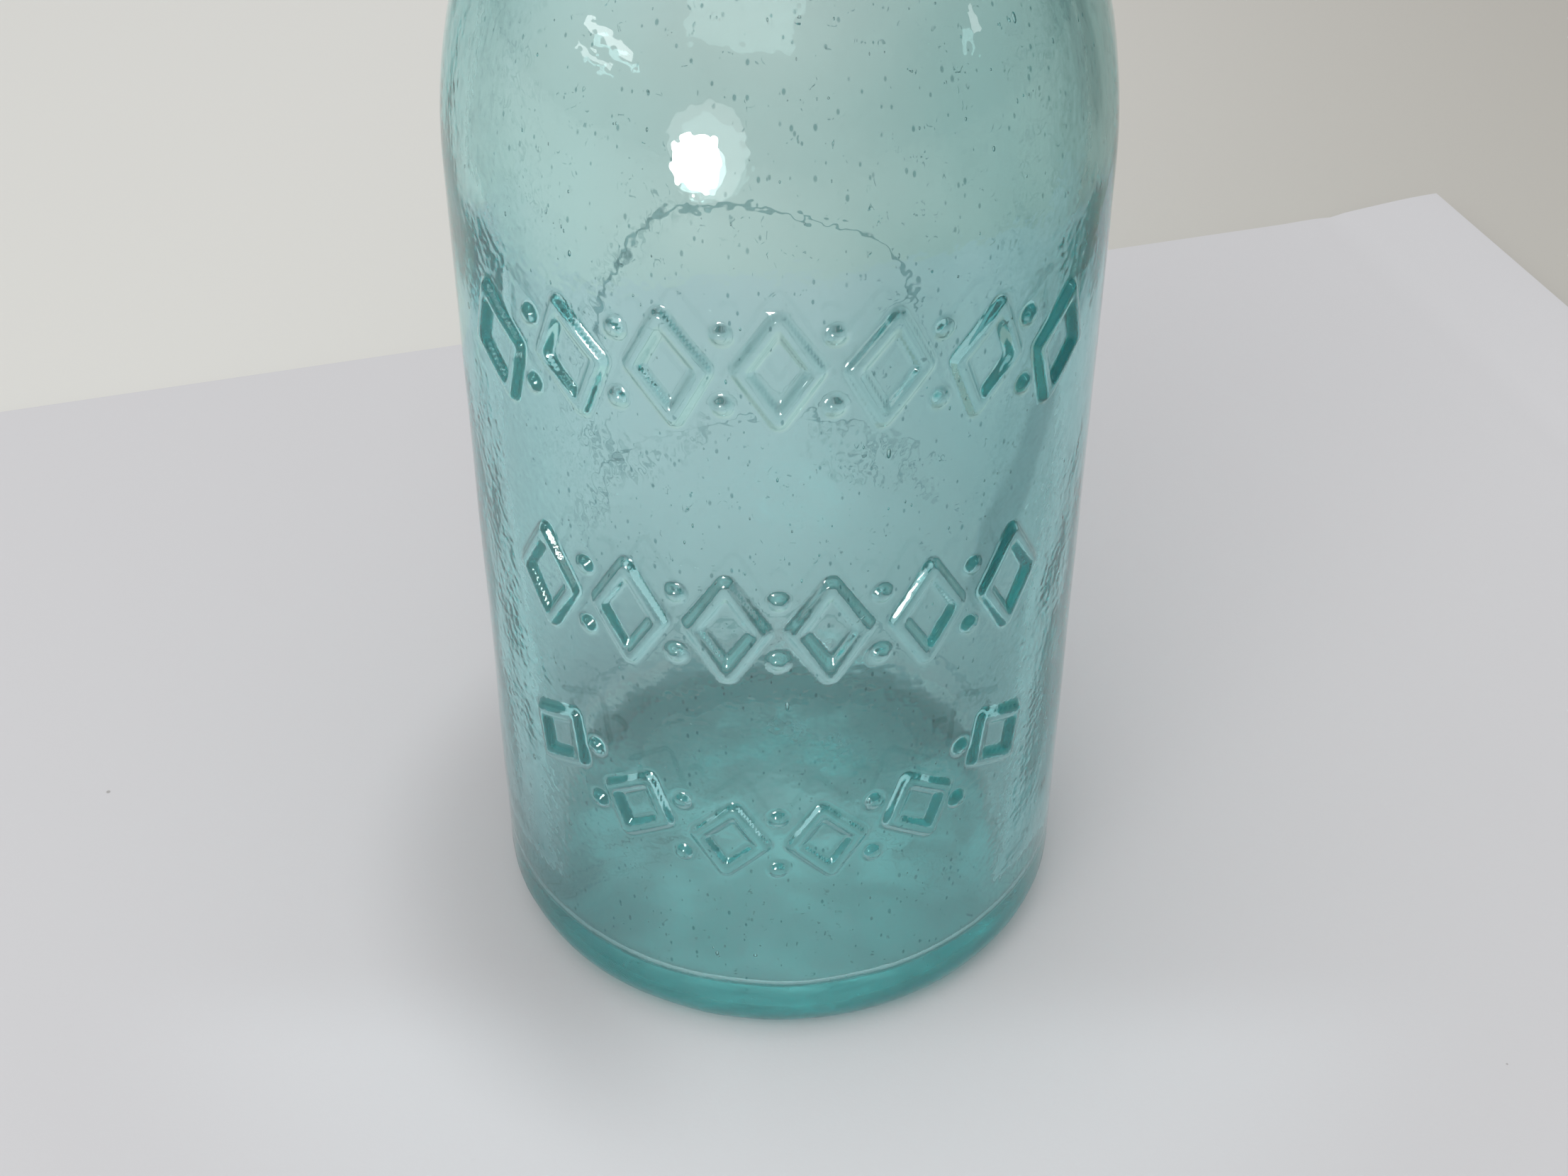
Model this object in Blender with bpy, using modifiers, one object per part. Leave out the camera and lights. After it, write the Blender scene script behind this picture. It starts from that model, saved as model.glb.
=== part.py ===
"""Soda bottle with an internal spring stopper.

The glass is a blown body with a gather of glass laid round its neck as a blob lip. Inside the
neck, a looped spring wire carries two metal plates with a thick rubber gasket between them. The
stopper is modelled pulled up, with the gasket against the foot of the neck.

Metres, +Z up. The origin is on the surface that the bottle stands on, at the bottle's axis. The
raised ornament faces -Y, and the wire loop lies in the plane y = 0.
"""

import math

import bmesh
import bpy
from mathutils import Matrix, Vector

# Glass body, from the resting ring upwards
BODY_RADIUS = 0.031
BODY_WALL = 0.0032
FLOOR_THICKNESS = 0.0052
HEEL_RADIUS = 0.0052
INNER_HEEL_RADIUS = 0.0030
PUSH_UP_RADIUS = 0.0210
PUSH_UP_DEPTH = 0.0014
PUSH_UP_SHARES = (1.0, 0.75, 0.4, 0.0)
SIDE_TOP = 0.0900

# Shoulder: a stretch of an ellipse, then a hollow sweep into the neck
SHOULDER_INSET = 0.0190
SHOULDER_RISE = 0.0330
SHOULDER_SWEEP = math.radians(62)

# Neck
NECK_BASE_RADIUS = 0.0139
NECK_TOP_RADIUS = 0.0125
NECK_LENGTH = 0.0160
NECK_WALL = 0.0043
BORE_RADIUS = 0.0083
SPIGOT_RADIUS = 0.0108
SPIGOT_HEIGHT = 0.0105

# Blob lip
LIP_RADIUS = 0.0143
LIP_HEIGHT = 0.0155
LIP_LAND_RADIUS = 0.0112
LIP_FULLNESS = 2.6
MOUTH_ROUND = 0.0014

# Stopper
GASKET_RADIUS = 0.0105
GASKET_THICKNESS = 0.0060
GASKET_EDGE_ROUND = 0.0012
PLATE_RADIUS = 0.0076
PLATE_EDGE = 0.0008
PLATE_ROUND_SHARE = 0.4
PLATE_CROWN = 0.0009
CROWN_SHARE = 0.62
WIRE_RADIUS = 0.00125
LEG_SPACING = 0.0052
LEG_STRAIGHT = 0.0015
SPREAD_HEIGHT = 0.0130
WAIST_WIDTH = 0.0058
EYE_RADIUS = 0.0087
EYE_TO_WAIST = 0.0130
EYE_JOIN = math.radians(62)
RIVET_RADIUS = 0.0021
RIVET_TAPER = 0.7
RIVET_HEIGHT = 0.0012

# How far the stopper is pushed in to open the bottle
STOPPER_TRAVEL = 0.0140

# Clearances
FIT_GAP = 0.0003
SPREAD_CLEARANCE = 0.0006
EYE_CLEARANCE = 0.0005

# Raised ornament on the front: outlined lozenges with pellets between them
RELIEF_HEIGHT = 0.0006
STROKE_RADIUS = 0.0008
PELLET_RADIUS = 0.0011
PELLET_OFFSET = 0.0035
LOZENGE_WIDTH = 0.0064
TOP_ROW_HEIGHT = 0.0840
TOP_ROW_TALL = 0.0098
TOP_ROW_ARCH = -0.0053
MIDDLE_ROW_HEIGHT = 0.0560
MIDDLE_ROW_TALL = 0.0104
MIDDLE_ROW_ARCH = 0.0
BOTTOM_ROW_HEIGHT = 0.0292
BOTTOM_ROW_TALL = 0.0082
BOTTOM_ROW_ARCH = 0.0115
TOP_ROW_MOTIFS = 7
LOWER_ROW_MOTIFS = 6
MOTIF_PITCH = 0.0095

# Facets and points of each shape
GLASS_STEPS = 40
STOPPER_STEPS = 32
SHOULDER_POINTS = 8
SWEEP_POINTS = 6
ROUND_POINTS = 4
HOLE_SIDES = 12
PELLET_SIDES = 8
PELLET_RINGS = 6
STROKE_FACETS = 1
WIRE_FACETS = 2
SPREAD_POINTS = 6
WAIST_POINTS = 8
JOIN_POINTS = 5
EYE_POINTS = 7

SHARP_ANGLE = math.radians(35)
MERGE_DISTANCE = 0.00001

# Plain colours and finishes of the materials
GLASS_COLOUR = (0.62, 0.80, 0.78)
GLASS_ROUGHNESS = 0.03
GLASS_IOR = 1.5
RUBBER_COLOUR = (0.05, 0.043, 0.038)
RUBBER_ROUGHNESS = 0.75
TIN_COLOUR = (0.42, 0.39, 0.35)
TIN_ROUGHNESS = 0.45


def clear_scene():
    for thing in list(bpy.data.objects):
        bpy.data.objects.remove(thing, do_unlink=True)


def make_collection(name):
    collection = bpy.data.collections.new(name)
    bpy.context.scene.collection.children.link(collection)
    return collection


def make_material(name, colour, roughness, metallic=0.0, transmission=0.0):
    material = bpy.data.materials.new(name)
    material.use_nodes = True
    shader = material.node_tree.nodes["Principled BSDF"]
    shader.inputs["Base Color"].default_value = (*colour, 1.0)
    shader.inputs["Roughness"].default_value = roughness
    shader.inputs["Metallic"].default_value = metallic
    shader.inputs["Transmission Weight"].default_value = transmission
    shader.inputs["IOR"].default_value = GLASS_IOR
    material.diffuse_color = (*colour, 1.0)
    return material


def add_object(name, mesh, collection, material=None):
    thing = bpy.data.objects.new(name, mesh)
    collection.objects.link(thing)
    if material:
        mesh.materials.append(material)
    return thing


def smooth(thing):
    thing.data.shade_smooth()
    thing.data.set_sharp_from_angle(angle=SHARP_ANGLE)


def turned(name, profile, steps, collection, material=None, closed=False):
    """Turns a profile of (radius, height) points, which runs down its outer side, about Z."""
    count = len(profile)
    edges = [(i, i + 1) for i in range(count - 1)]
    if closed:
        edges.append((count - 1, 0))
    mesh = bpy.data.meshes.new(name)
    mesh.from_pydata([(radius, 0.0, height) for radius, height in profile], edges, [])
    thing = add_object(name, mesh, collection, material)
    screw = thing.modifiers.new("turn", "SCREW")
    screw.axis = "Z"
    screw.angle = math.tau
    screw.steps = steps
    screw.render_steps = steps
    screw.use_merge_vertices = True
    screw.merge_threshold = MERGE_DISTANCE
    screw.use_smooth_shade = True
    return thing


def mark_cutter(thing):
    thing.hide_render = True
    thing.display_type = "WIRE"


def boolean(thing, other, operation):
    modifier = thing.modifiers.new(other.name, "BOOLEAN")
    modifier.operation = operation
    modifier.solver = "EXACT"
    modifier.use_self = True
    modifier.object = other


def round_corner(centre, radius, start, end, points):
    """Points of an arc about (radius, height) centre, from the start angle to the end angle."""
    angles = [start + (end - start) * i / points for i in range(points + 1)]
    return [(centre[0] + radius * math.cos(a), centre[1] + radius * math.sin(a)) for a in angles]


def shoulder_curve():
    """The outside from the top of the straight side to the foot of the neck.

    Each point is (radius, height, tilt), with tilt the wall's lean from the vertical.
    """
    curve = []
    for i in range(SHOULDER_POINTS + 1):
        turn = SHOULDER_SWEEP * i / SHOULDER_POINTS
        radius = BODY_RADIUS - SHOULDER_INSET * (1 - math.cos(turn))
        height = SIDE_TOP + SHOULDER_RISE * math.sin(turn)
        tilt = math.atan2(SHOULDER_INSET * math.sin(turn), SHOULDER_RISE * math.cos(turn))
        curve.append((radius, height, tilt))
    start_radius, start_height, start_tilt = curve[-1]
    end_tilt = math.atan2(NECK_BASE_RADIUS - NECK_TOP_RADIUS, NECK_LENGTH)
    sweep = (start_radius - NECK_BASE_RADIUS) / (math.cos(end_tilt) - math.cos(start_tilt))
    for i in range(1, SWEEP_POINTS + 1):
        tilt = start_tilt + (end_tilt - start_tilt) * i / SWEEP_POINTS
        radius = start_radius - sweep * (math.cos(tilt) - math.cos(start_tilt))
        height = start_height + sweep * (math.sin(start_tilt) - math.sin(tilt))
        curve.append((radius, height, tilt))
    return curve


def neck_foot_height():
    return shoulder_curve()[-1][1]


def lip_seat_height():
    return neck_foot_height() + NECK_LENGTH


def lip_top_height():
    return lip_seat_height() + FIT_GAP + LIP_HEIGHT


def inside_profile():
    """The glass body's inside, from the middle of the floor up to the spigot's mouth."""
    inner_radius = BODY_RADIUS - BODY_WALL
    corner = (inner_radius - INNER_HEEL_RADIUS, FLOOR_THICKNESS + INNER_HEEL_RADIUS)
    points = [(0.0, FLOOR_THICKNESS)]
    points += round_corner(corner, INNER_HEEL_RADIUS, -math.pi / 2, 0, ROUND_POINTS)
    curve = shoulder_curve()
    for i, (radius, height, tilt) in enumerate(curve):
        wall = BODY_WALL + (NECK_WALL - BODY_WALL) * i / (len(curve) - 1)
        points.append((radius - wall * math.cos(tilt), height - wall * math.sin(tilt)))
    points.append((BORE_RADIUS, lip_seat_height()))
    points.append((BORE_RADIUS, lip_seat_height() + SPIGOT_HEIGHT))
    return points


def outside_profile():
    """The glass body's outside, from the top of the spigot down to the middle of the base."""
    seat = lip_seat_height()
    points = [(SPIGOT_RADIUS, seat + SPIGOT_HEIGHT), (SPIGOT_RADIUS, seat), (NECK_TOP_RADIUS, seat)]
    points += [(radius, height) for radius, height, tilt in reversed(shoulder_curve())]
    corner = (BODY_RADIUS - HEEL_RADIUS, HEEL_RADIUS)
    points += round_corner(corner, HEEL_RADIUS, 0, -math.pi / 2, ROUND_POINTS + 1)
    for share in PUSH_UP_SHARES:
        points.append((PUSH_UP_RADIUS * share, PUSH_UP_DEPTH * (1 - share * share)))
    return points


def bore_height_at(radius):
    """The height at which the inside of the shoulder has narrowed to a radius."""
    points = inside_profile()
    for (low_radius, low), (high_radius, high) in zip(points[ROUND_POINTS + 2:], points[ROUND_POINTS + 3:]):
        if low_radius >= radius > high_radius:
            return low + (high - low) * (low_radius - radius) / (low_radius - high_radius)
    return neck_foot_height()


def on_glass(turn, height, radius):
    """A point of the body's side, a turn round from the front."""
    return Vector((radius * math.sin(turn), -radius * math.cos(turn), height))


def row_point(row_height, arch, turn):
    """The height and the slope of a row of ornament at a turn from the front."""
    height = row_height + arch * turn * turn
    slope = math.atan2(2 * arch * turn, BODY_RADIUS)
    return height, slope


def lozenge(collection, turn, height, slope, tall):
    """An outlined lozenge: a closed round stroke, sunk in the side of the body."""
    curve = bpy.data.curves.new("lozenge", "CURVE")
    curve.dimensions = "3D"
    curve.bevel_depth = STROKE_RADIUS
    curve.bevel_resolution = STROKE_FACETS
    wide = LOZENGE_WIDTH
    corners = [(wide / 2, 0.0), (0.0, tall / 2), (-wide / 2, 0.0), (0.0, -tall / 2)]
    spline = curve.splines.new("POLY")
    spline.points.add(len(corners) - 1)
    stroke_centre = BODY_RADIUS + RELIEF_HEIGHT - STROKE_RADIUS
    for point, (along, up) in zip(spline.points, corners):
        side = along * math.cos(slope) - up * math.sin(slope)
        rise = along * math.sin(slope) + up * math.cos(slope)
        place = on_glass(turn + side / BODY_RADIUS, height + rise, stroke_centre)
        point.co = (*place, 1.0)
    spline.use_cyclic_u = True
    return add_object("lozenge", curve, collection)


def pellet(collection, turn, height):
    """A small round boss on the side of the body."""
    mesh = bpy.data.meshes.new("pellet")
    shape = bmesh.new()
    bmesh.ops.create_uvsphere(
        shape,
        u_segments=PELLET_SIDES,
        v_segments=PELLET_RINGS,
        radius=PELLET_RADIUS,
    )
    facing = Matrix.Rotation(turn, 4, "Z") @ Matrix.Rotation(math.pi / 2, 4, "X")
    place = on_glass(turn, height, BODY_RADIUS + RELIEF_HEIGHT - PELLET_RADIUS)
    bmesh.ops.transform(shape, matrix=Matrix.Translation(place) @ facing, verts=shape.verts)
    shape.to_mesh(mesh)
    shape.free()
    return add_object("pellet", mesh, collection)


def ornament_row(collection, motifs, row_height, arch, tall):
    """One row: lozenges a pitch apart about the front, with two pellets in each gap."""
    pieces = []
    middle = (motifs - 1) / 2
    pitch = MOTIF_PITCH / BODY_RADIUS
    for i in range(motifs):
        turn = (i - middle) * pitch
        height, slope = row_point(row_height, arch, turn)
        pieces.append(lozenge(collection, turn, height, slope, tall))
    for i in range(motifs - 1):
        turn = (i - middle + 0.5) * pitch
        height, slope = row_point(row_height, arch, turn)
        for side in (-PELLET_OFFSET, PELLET_OFFSET):
            pieces.append(pellet(collection, turn, height + side))
    return pieces


def solid_copy(thing, name, collection):
    """A welded mesh of a curve or mesh object, which takes the object's place."""
    bpy.context.view_layer.update()
    evaluated = thing.evaluated_get(bpy.context.evaluated_depsgraph_get())
    mesh = bpy.data.meshes.new_from_object(evaluated)
    shape = bmesh.new()
    shape.from_mesh(mesh)
    bmesh.ops.remove_doubles(shape, verts=shape.verts, dist=MERGE_DISTANCE)
    bmesh.ops.recalc_face_normals(shape, faces=shape.faces)
    shape.to_mesh(mesh)
    shape.free()
    copy = bpy.data.objects.new(name, mesh)
    copy.matrix_world = thing.matrix_world
    collection.objects.link(copy)
    bpy.data.objects.remove(thing, do_unlink=True)
    return copy


def joined(pieces, name, collection):
    """One mesh object that holds several closed shapes."""
    whole = bmesh.new()
    for piece in pieces:
        solid = solid_copy(piece, name, collection)
        solid.data.transform(solid.matrix_world)
        whole.from_mesh(solid.data)
        bpy.data.objects.remove(solid, do_unlink=True)
    mesh = bpy.data.meshes.new(name)
    whole.to_mesh(mesh)
    whole.free()
    return add_object(name, mesh, collection)


def make_glass_body(parts, cutters, material):
    body = turned("glass_body", inside_profile() + outside_profile(), GLASS_STEPS, parts, material)
    rows = (
        (TOP_ROW_MOTIFS, TOP_ROW_HEIGHT, TOP_ROW_ARCH, TOP_ROW_TALL),
        (LOWER_ROW_MOTIFS, MIDDLE_ROW_HEIGHT, MIDDLE_ROW_ARCH, MIDDLE_ROW_TALL),
        (LOWER_ROW_MOTIFS, BOTTOM_ROW_HEIGHT, BOTTOM_ROW_ARCH, BOTTOM_ROW_TALL),
    )
    pieces = []
    for row in rows:
        pieces += ornament_row(cutters, *row)
    relief = joined(pieces, "relief_shapes", cutters)
    mark_cutter(relief)
    boolean(body, relief, "UNION")
    return body


def lip_profile():
    """The blob lip's closed outline, starting at the outer edge of its flat top."""
    top = lip_top_height()
    bottom = lip_seat_height() + FIT_GAP
    middle = (top + bottom) / 2
    half = LIP_HEIGHT / 2
    socket_radius = SPIGOT_RADIUS + FIT_GAP
    socket_top = lip_seat_height() + SPIGOT_HEIGHT + FIT_GAP
    power = 2 / LIP_FULLNESS
    points = []
    for i in range(2 * ROUND_POINTS + 3):
        turn = math.pi / 2 - math.pi * i / (2 * ROUND_POINTS + 2)
        inner = LIP_LAND_RADIUS if turn > 0 else socket_radius
        radius = inner + (LIP_RADIUS - inner) * max(math.cos(turn), 0.0) ** power
        rise = half * math.copysign(abs(math.sin(turn)) ** power, math.sin(turn))
        points.append((radius, middle + rise))
    points += [(socket_radius, socket_top), (BORE_RADIUS, socket_top)]
    corner = (BORE_RADIUS + MOUTH_ROUND, top - MOUTH_ROUND)
    points += round_corner(corner, MOUTH_ROUND, math.pi, math.pi / 2, ROUND_POINTS - 1)
    return points


def make_lip(parts, material):
    return turned("blob_lip", lip_profile(), GLASS_STEPS, parts, material, closed=True)


def gasket_top_height():
    """The gasket stops where the inside of the shoulder closes on its edge."""
    return bore_height_at(GASKET_RADIUS + FIT_GAP)


def leg_holes(name, cutters, bottom, top):
    """Two round cutters through a disc of the stopper, for the wire's legs."""
    tools = []
    for label, side in (("left", -1), ("right", 1)):
        mesh = bpy.data.meshes.new(f"{name}_{label}")
        shape = bmesh.new()
        bmesh.ops.create_cone(
            shape,
            cap_ends=True,
            segments=HOLE_SIDES,
            radius1=WIRE_RADIUS + FIT_GAP,
            radius2=WIRE_RADIUS + FIT_GAP,
            depth=(top - bottom) * 2,
        )
        place = Matrix.Translation((side * LEG_SPACING / 2, 0.0, (top + bottom) / 2))
        bmesh.ops.transform(shape, matrix=place, verts=shape.verts)
        shape.to_mesh(mesh)
        shape.free()
        tool = add_object(f"{name}_{label}", mesh, cutters)
        mark_cutter(tool)
        tools.append(tool)
    return tools


def disc_profile(radius, bottom, top, edge_round, upper_crown=0.0, lower_crown=0.0):
    """A disc with rounded edges, domed by the crowns on its top and on its underside."""
    upper = (radius - edge_round, top - edge_round)
    lower = (radius - edge_round, bottom + edge_round)
    dome_side = 1 - CROWN_SHARE * CROWN_SHARE
    points = [(0.0, top + upper_crown)]
    if upper_crown:
        points.append((radius * CROWN_SHARE, top + upper_crown * dome_side))
    points += round_corner(upper, edge_round, math.pi / 2, 0, ROUND_POINTS - 1)
    points += round_corner(lower, edge_round, 0, -math.pi / 2, ROUND_POINTS - 1)
    if lower_crown:
        points.append((radius * CROWN_SHARE, bottom - lower_crown * dome_side))
    points.append((0.0, bottom - lower_crown))
    return points


def make_disc(name, profile, parts, cutters, material, stopper):
    disc = turned(name, profile, STOPPER_STEPS, parts, material)
    heights = [height for radius, height in profile]
    for tool in leg_holes(name + "_hole", cutters, min(heights), max(heights)):
        boolean(disc, tool, "DIFFERENCE")
    disc.parent = stopper
    return disc


def make_gasket(parts, cutters, material, stopper):
    top = gasket_top_height()
    profile = disc_profile(GASKET_RADIUS, top - GASKET_THICKNESS, top, GASKET_EDGE_ROUND)
    return make_disc("rubber_gasket", profile, parts, cutters, material, stopper)


def upper_plate_bottom():
    return gasket_top_height() + FIT_GAP


def lower_plate_top():
    return gasket_top_height() - GASKET_THICKNESS - FIT_GAP


def make_plates(parts, cutters, material, stopper):
    edge_round = PLATE_EDGE * PLATE_ROUND_SHARE
    bottom = upper_plate_bottom()
    top = bottom + PLATE_EDGE
    upper = disc_profile(PLATE_RADIUS, bottom, top, edge_round, upper_crown=PLATE_CROWN)
    make_disc("upper_plate", upper, parts, cutters, material, stopper)
    top = lower_plate_top()
    bottom = top - PLATE_EDGE
    lower = disc_profile(PLATE_RADIUS, bottom, top, edge_round, lower_crown=PLATE_CROWN)
    make_disc("lower_plate", lower, parts, cutters, material, stopper)


def smooth_step(share):
    return share * share * (3 - 2 * share)


def eye_drop():
    """How far below the eye's centre the wire is as wide as the bore."""
    outer = EYE_RADIUS + WIRE_RADIUS
    return math.sqrt(outer * outer - BORE_RADIUS * BORE_RADIUS)


def eye_centre_height():
    return lip_top_height() + STOPPER_TRAVEL + EYE_CLEARANCE + eye_drop()


def rivet_top():
    return lower_plate_top() - PLATE_EDGE - PLATE_CROWN - FIT_GAP


def wire_half():
    """The wire's right half in the plane y = 0: (x, z) from the leg's foot to the eye's top."""
    spread = BORE_RADIUS - WIRE_RADIUS - SPREAD_CLEARANCE
    leg = LEG_SPACING / 2
    waist = WAIST_WIDTH / 2
    foot = rivet_top() - RIVET_HEIGHT / 2
    bend = upper_plate_bottom() + PLATE_EDGE + PLATE_CROWN + LEG_STRAIGHT
    widest = bend + SPREAD_HEIGHT
    centre = eye_centre_height()
    waist_height = centre - EYE_TO_WAIST
    points = [(leg, foot), (leg, (foot + bend) / 2)]
    for i in range(SPREAD_POINTS + 1):
        share = i / SPREAD_POINTS
        points.append((leg + (spread - leg) * smooth_step(share), bend + (widest - bend) * share))
    for i in range(1, WAIST_POINTS + 1):
        share = i / WAIST_POINTS
        height = widest + (waist_height - widest) * share
        points.append((spread + (waist - spread) * smooth_step(share), height))
    start = Vector((waist, waist_height))
    end = Vector((EYE_RADIUS * math.sin(EYE_JOIN), centre - EYE_RADIUS * math.cos(EYE_JOIN)))
    reach = (end - start).length
    start_way = Vector((0, 1)) * reach
    end_way = Vector((math.cos(EYE_JOIN), math.sin(EYE_JOIN))) * reach
    for i in range(1, JOIN_POINTS):
        points.append(tuple(blend_point(start, start_way, end, end_way, i / JOIN_POINTS)))
    for i in range(EYE_POINTS + 1):
        turn = EYE_JOIN + (math.pi - EYE_JOIN) * i / EYE_POINTS
        points.append((EYE_RADIUS * math.sin(turn), centre - EYE_RADIUS * math.cos(turn)))
    return points


def blend_point(start, start_way, end, end_way, share):
    """A point of the cubic that leaves start along start_way and reaches end along end_way."""
    square = share * share
    cube = square * share
    return (
        start * (2 * cube - 3 * square + 1)
        + start_way * (cube - 2 * square + share)
        + end * (3 * square - 2 * cube)
        + end_way * (cube - square)
    )


def make_rivet(name, side, cutters):
    """The peened head under the lower plate at a leg's foot."""
    mesh = bpy.data.meshes.new(name)
    shape = bmesh.new()
    bmesh.ops.create_cone(
        shape,
        cap_ends=True,
        segments=HOLE_SIDES,
        radius1=RIVET_RADIUS * RIVET_TAPER,
        radius2=RIVET_RADIUS,
        depth=RIVET_HEIGHT,
    )
    place = Matrix.Translation((side * LEG_SPACING / 2, 0.0, rivet_top() - RIVET_HEIGHT / 2))
    bmesh.ops.transform(shape, matrix=place, verts=shape.verts)
    shape.to_mesh(mesh)
    shape.free()
    rivet = add_object(name, mesh, cutters)
    mark_cutter(rivet)
    return rivet


def make_wire(parts, cutters, material, stopper):
    half = wire_half()
    path = half + [(-x, z) for x, z in reversed(half[:-1])]
    curve = bpy.data.curves.new("spring_wire", "CURVE")
    curve.dimensions = "3D"
    curve.bevel_depth = WIRE_RADIUS
    curve.bevel_resolution = WIRE_FACETS
    curve.use_fill_caps = True
    spline = curve.splines.new("POLY")
    spline.points.add(len(path) - 1)
    for point, (x, z) in zip(spline.points, path):
        point.co = (x, 0.0, z, 1.0)
    line = add_object("spring_wire_line", curve, cutters)
    wire = solid_copy(line, "spring_wire", parts)
    wire.data.materials.clear()
    wire.data.materials.append(material)
    for label, side in (("left", -1), ("right", 1)):
        boolean(wire, make_rivet(f"rivet_{label}", side, cutters), "UNION")
    smooth(wire)
    wire.parent = stopper
    return wire


def make_stopper_axis(parts):
    """The empty that carries the stopper, at the origin on the bottle's axis."""
    axis = bpy.data.objects.new("stopper_axis", None)
    parts.objects.link(axis)
    return axis


def main():
    clear_scene()
    parts = make_collection("soda_bottle")
    cutters = make_collection("cutters")
    glass = make_material("aqua_glass", GLASS_COLOUR, GLASS_ROUGHNESS, transmission=1.0)
    rubber = make_material("aged_rubber", RUBBER_COLOUR, RUBBER_ROUGHNESS)
    tinned = make_material("tinned_iron", TIN_COLOUR, TIN_ROUGHNESS, metallic=1.0)
    make_glass_body(parts, cutters, glass)
    make_lip(parts, glass)
    stopper = make_stopper_axis(parts)
    make_gasket(parts, cutters, rubber, stopper)
    make_plates(parts, cutters, tinned, stopper)
    make_wire(parts, cutters, tinned, stopper)
    bpy.context.view_layer.update()


main()
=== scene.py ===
"""Dresses the soda bottle: blown aqua glass with raised ornament, and the spring stopper in its neck.

Metres, +Z up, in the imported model's frame. The ornament faces -Y. Each operator makes one piece or
one group of like pieces, and the panel in the 3D view's sidebar lists them.
"""

import math
from itertools import accumulate

import bmesh
import bpy
import numpy as np
from bpy.props import FloatProperty, FloatVectorProperty, IntProperty, PointerProperty
from mathutils import Matrix, Vector


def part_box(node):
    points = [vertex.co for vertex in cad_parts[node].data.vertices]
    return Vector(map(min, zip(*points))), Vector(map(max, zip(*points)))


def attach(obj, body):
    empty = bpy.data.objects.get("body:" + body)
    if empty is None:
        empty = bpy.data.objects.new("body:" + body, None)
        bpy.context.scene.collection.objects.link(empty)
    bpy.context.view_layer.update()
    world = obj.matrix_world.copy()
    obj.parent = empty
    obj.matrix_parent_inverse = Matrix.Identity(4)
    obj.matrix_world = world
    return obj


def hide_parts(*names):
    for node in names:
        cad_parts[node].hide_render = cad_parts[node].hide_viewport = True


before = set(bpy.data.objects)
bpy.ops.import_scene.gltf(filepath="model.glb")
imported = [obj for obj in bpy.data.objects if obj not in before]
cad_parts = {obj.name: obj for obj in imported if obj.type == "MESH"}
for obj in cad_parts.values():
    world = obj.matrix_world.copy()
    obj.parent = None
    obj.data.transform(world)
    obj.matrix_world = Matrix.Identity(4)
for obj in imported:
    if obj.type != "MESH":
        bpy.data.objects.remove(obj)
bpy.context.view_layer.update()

bl_info = {
    "name": "Spring-stopper soda bottle",
    "version": (1, 0, 0),
    "blender": (4, 5, 0),
    "location": "View3D > Sidebar > Soda bottle",
    "description": "Aqua glass, wire stopper and paper stage around the packed bottle",
    "category": "Object",
}

GLASS_LOW, GLASS_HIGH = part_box("glass_body")
LIP_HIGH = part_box("blob_lip")[1]
GASKET_LOW, GASKET_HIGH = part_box("rubber_gasket")
UPPER_LOW, UPPER_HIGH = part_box("upper_plate")
LOWER_LOW, LOWER_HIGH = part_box("lower_plate")
WIRE_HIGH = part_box("spring_wire")[1]


def length(name, description, default):
    return FloatProperty(
        name=name, description=description, default=default, min=0.0, precision=5, unit="LENGTH"
    )


def amount(name, description, default, **options):
    options = {"min": 0.0, **options}
    return FloatProperty(name=name, description=description, default=default, **options)


def colour(name, description, default):
    return FloatVectorProperty(
        name=name, description=description, default=default, min=0.0, max=1.0, size=3, subtype="COLOR"
    )


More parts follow.
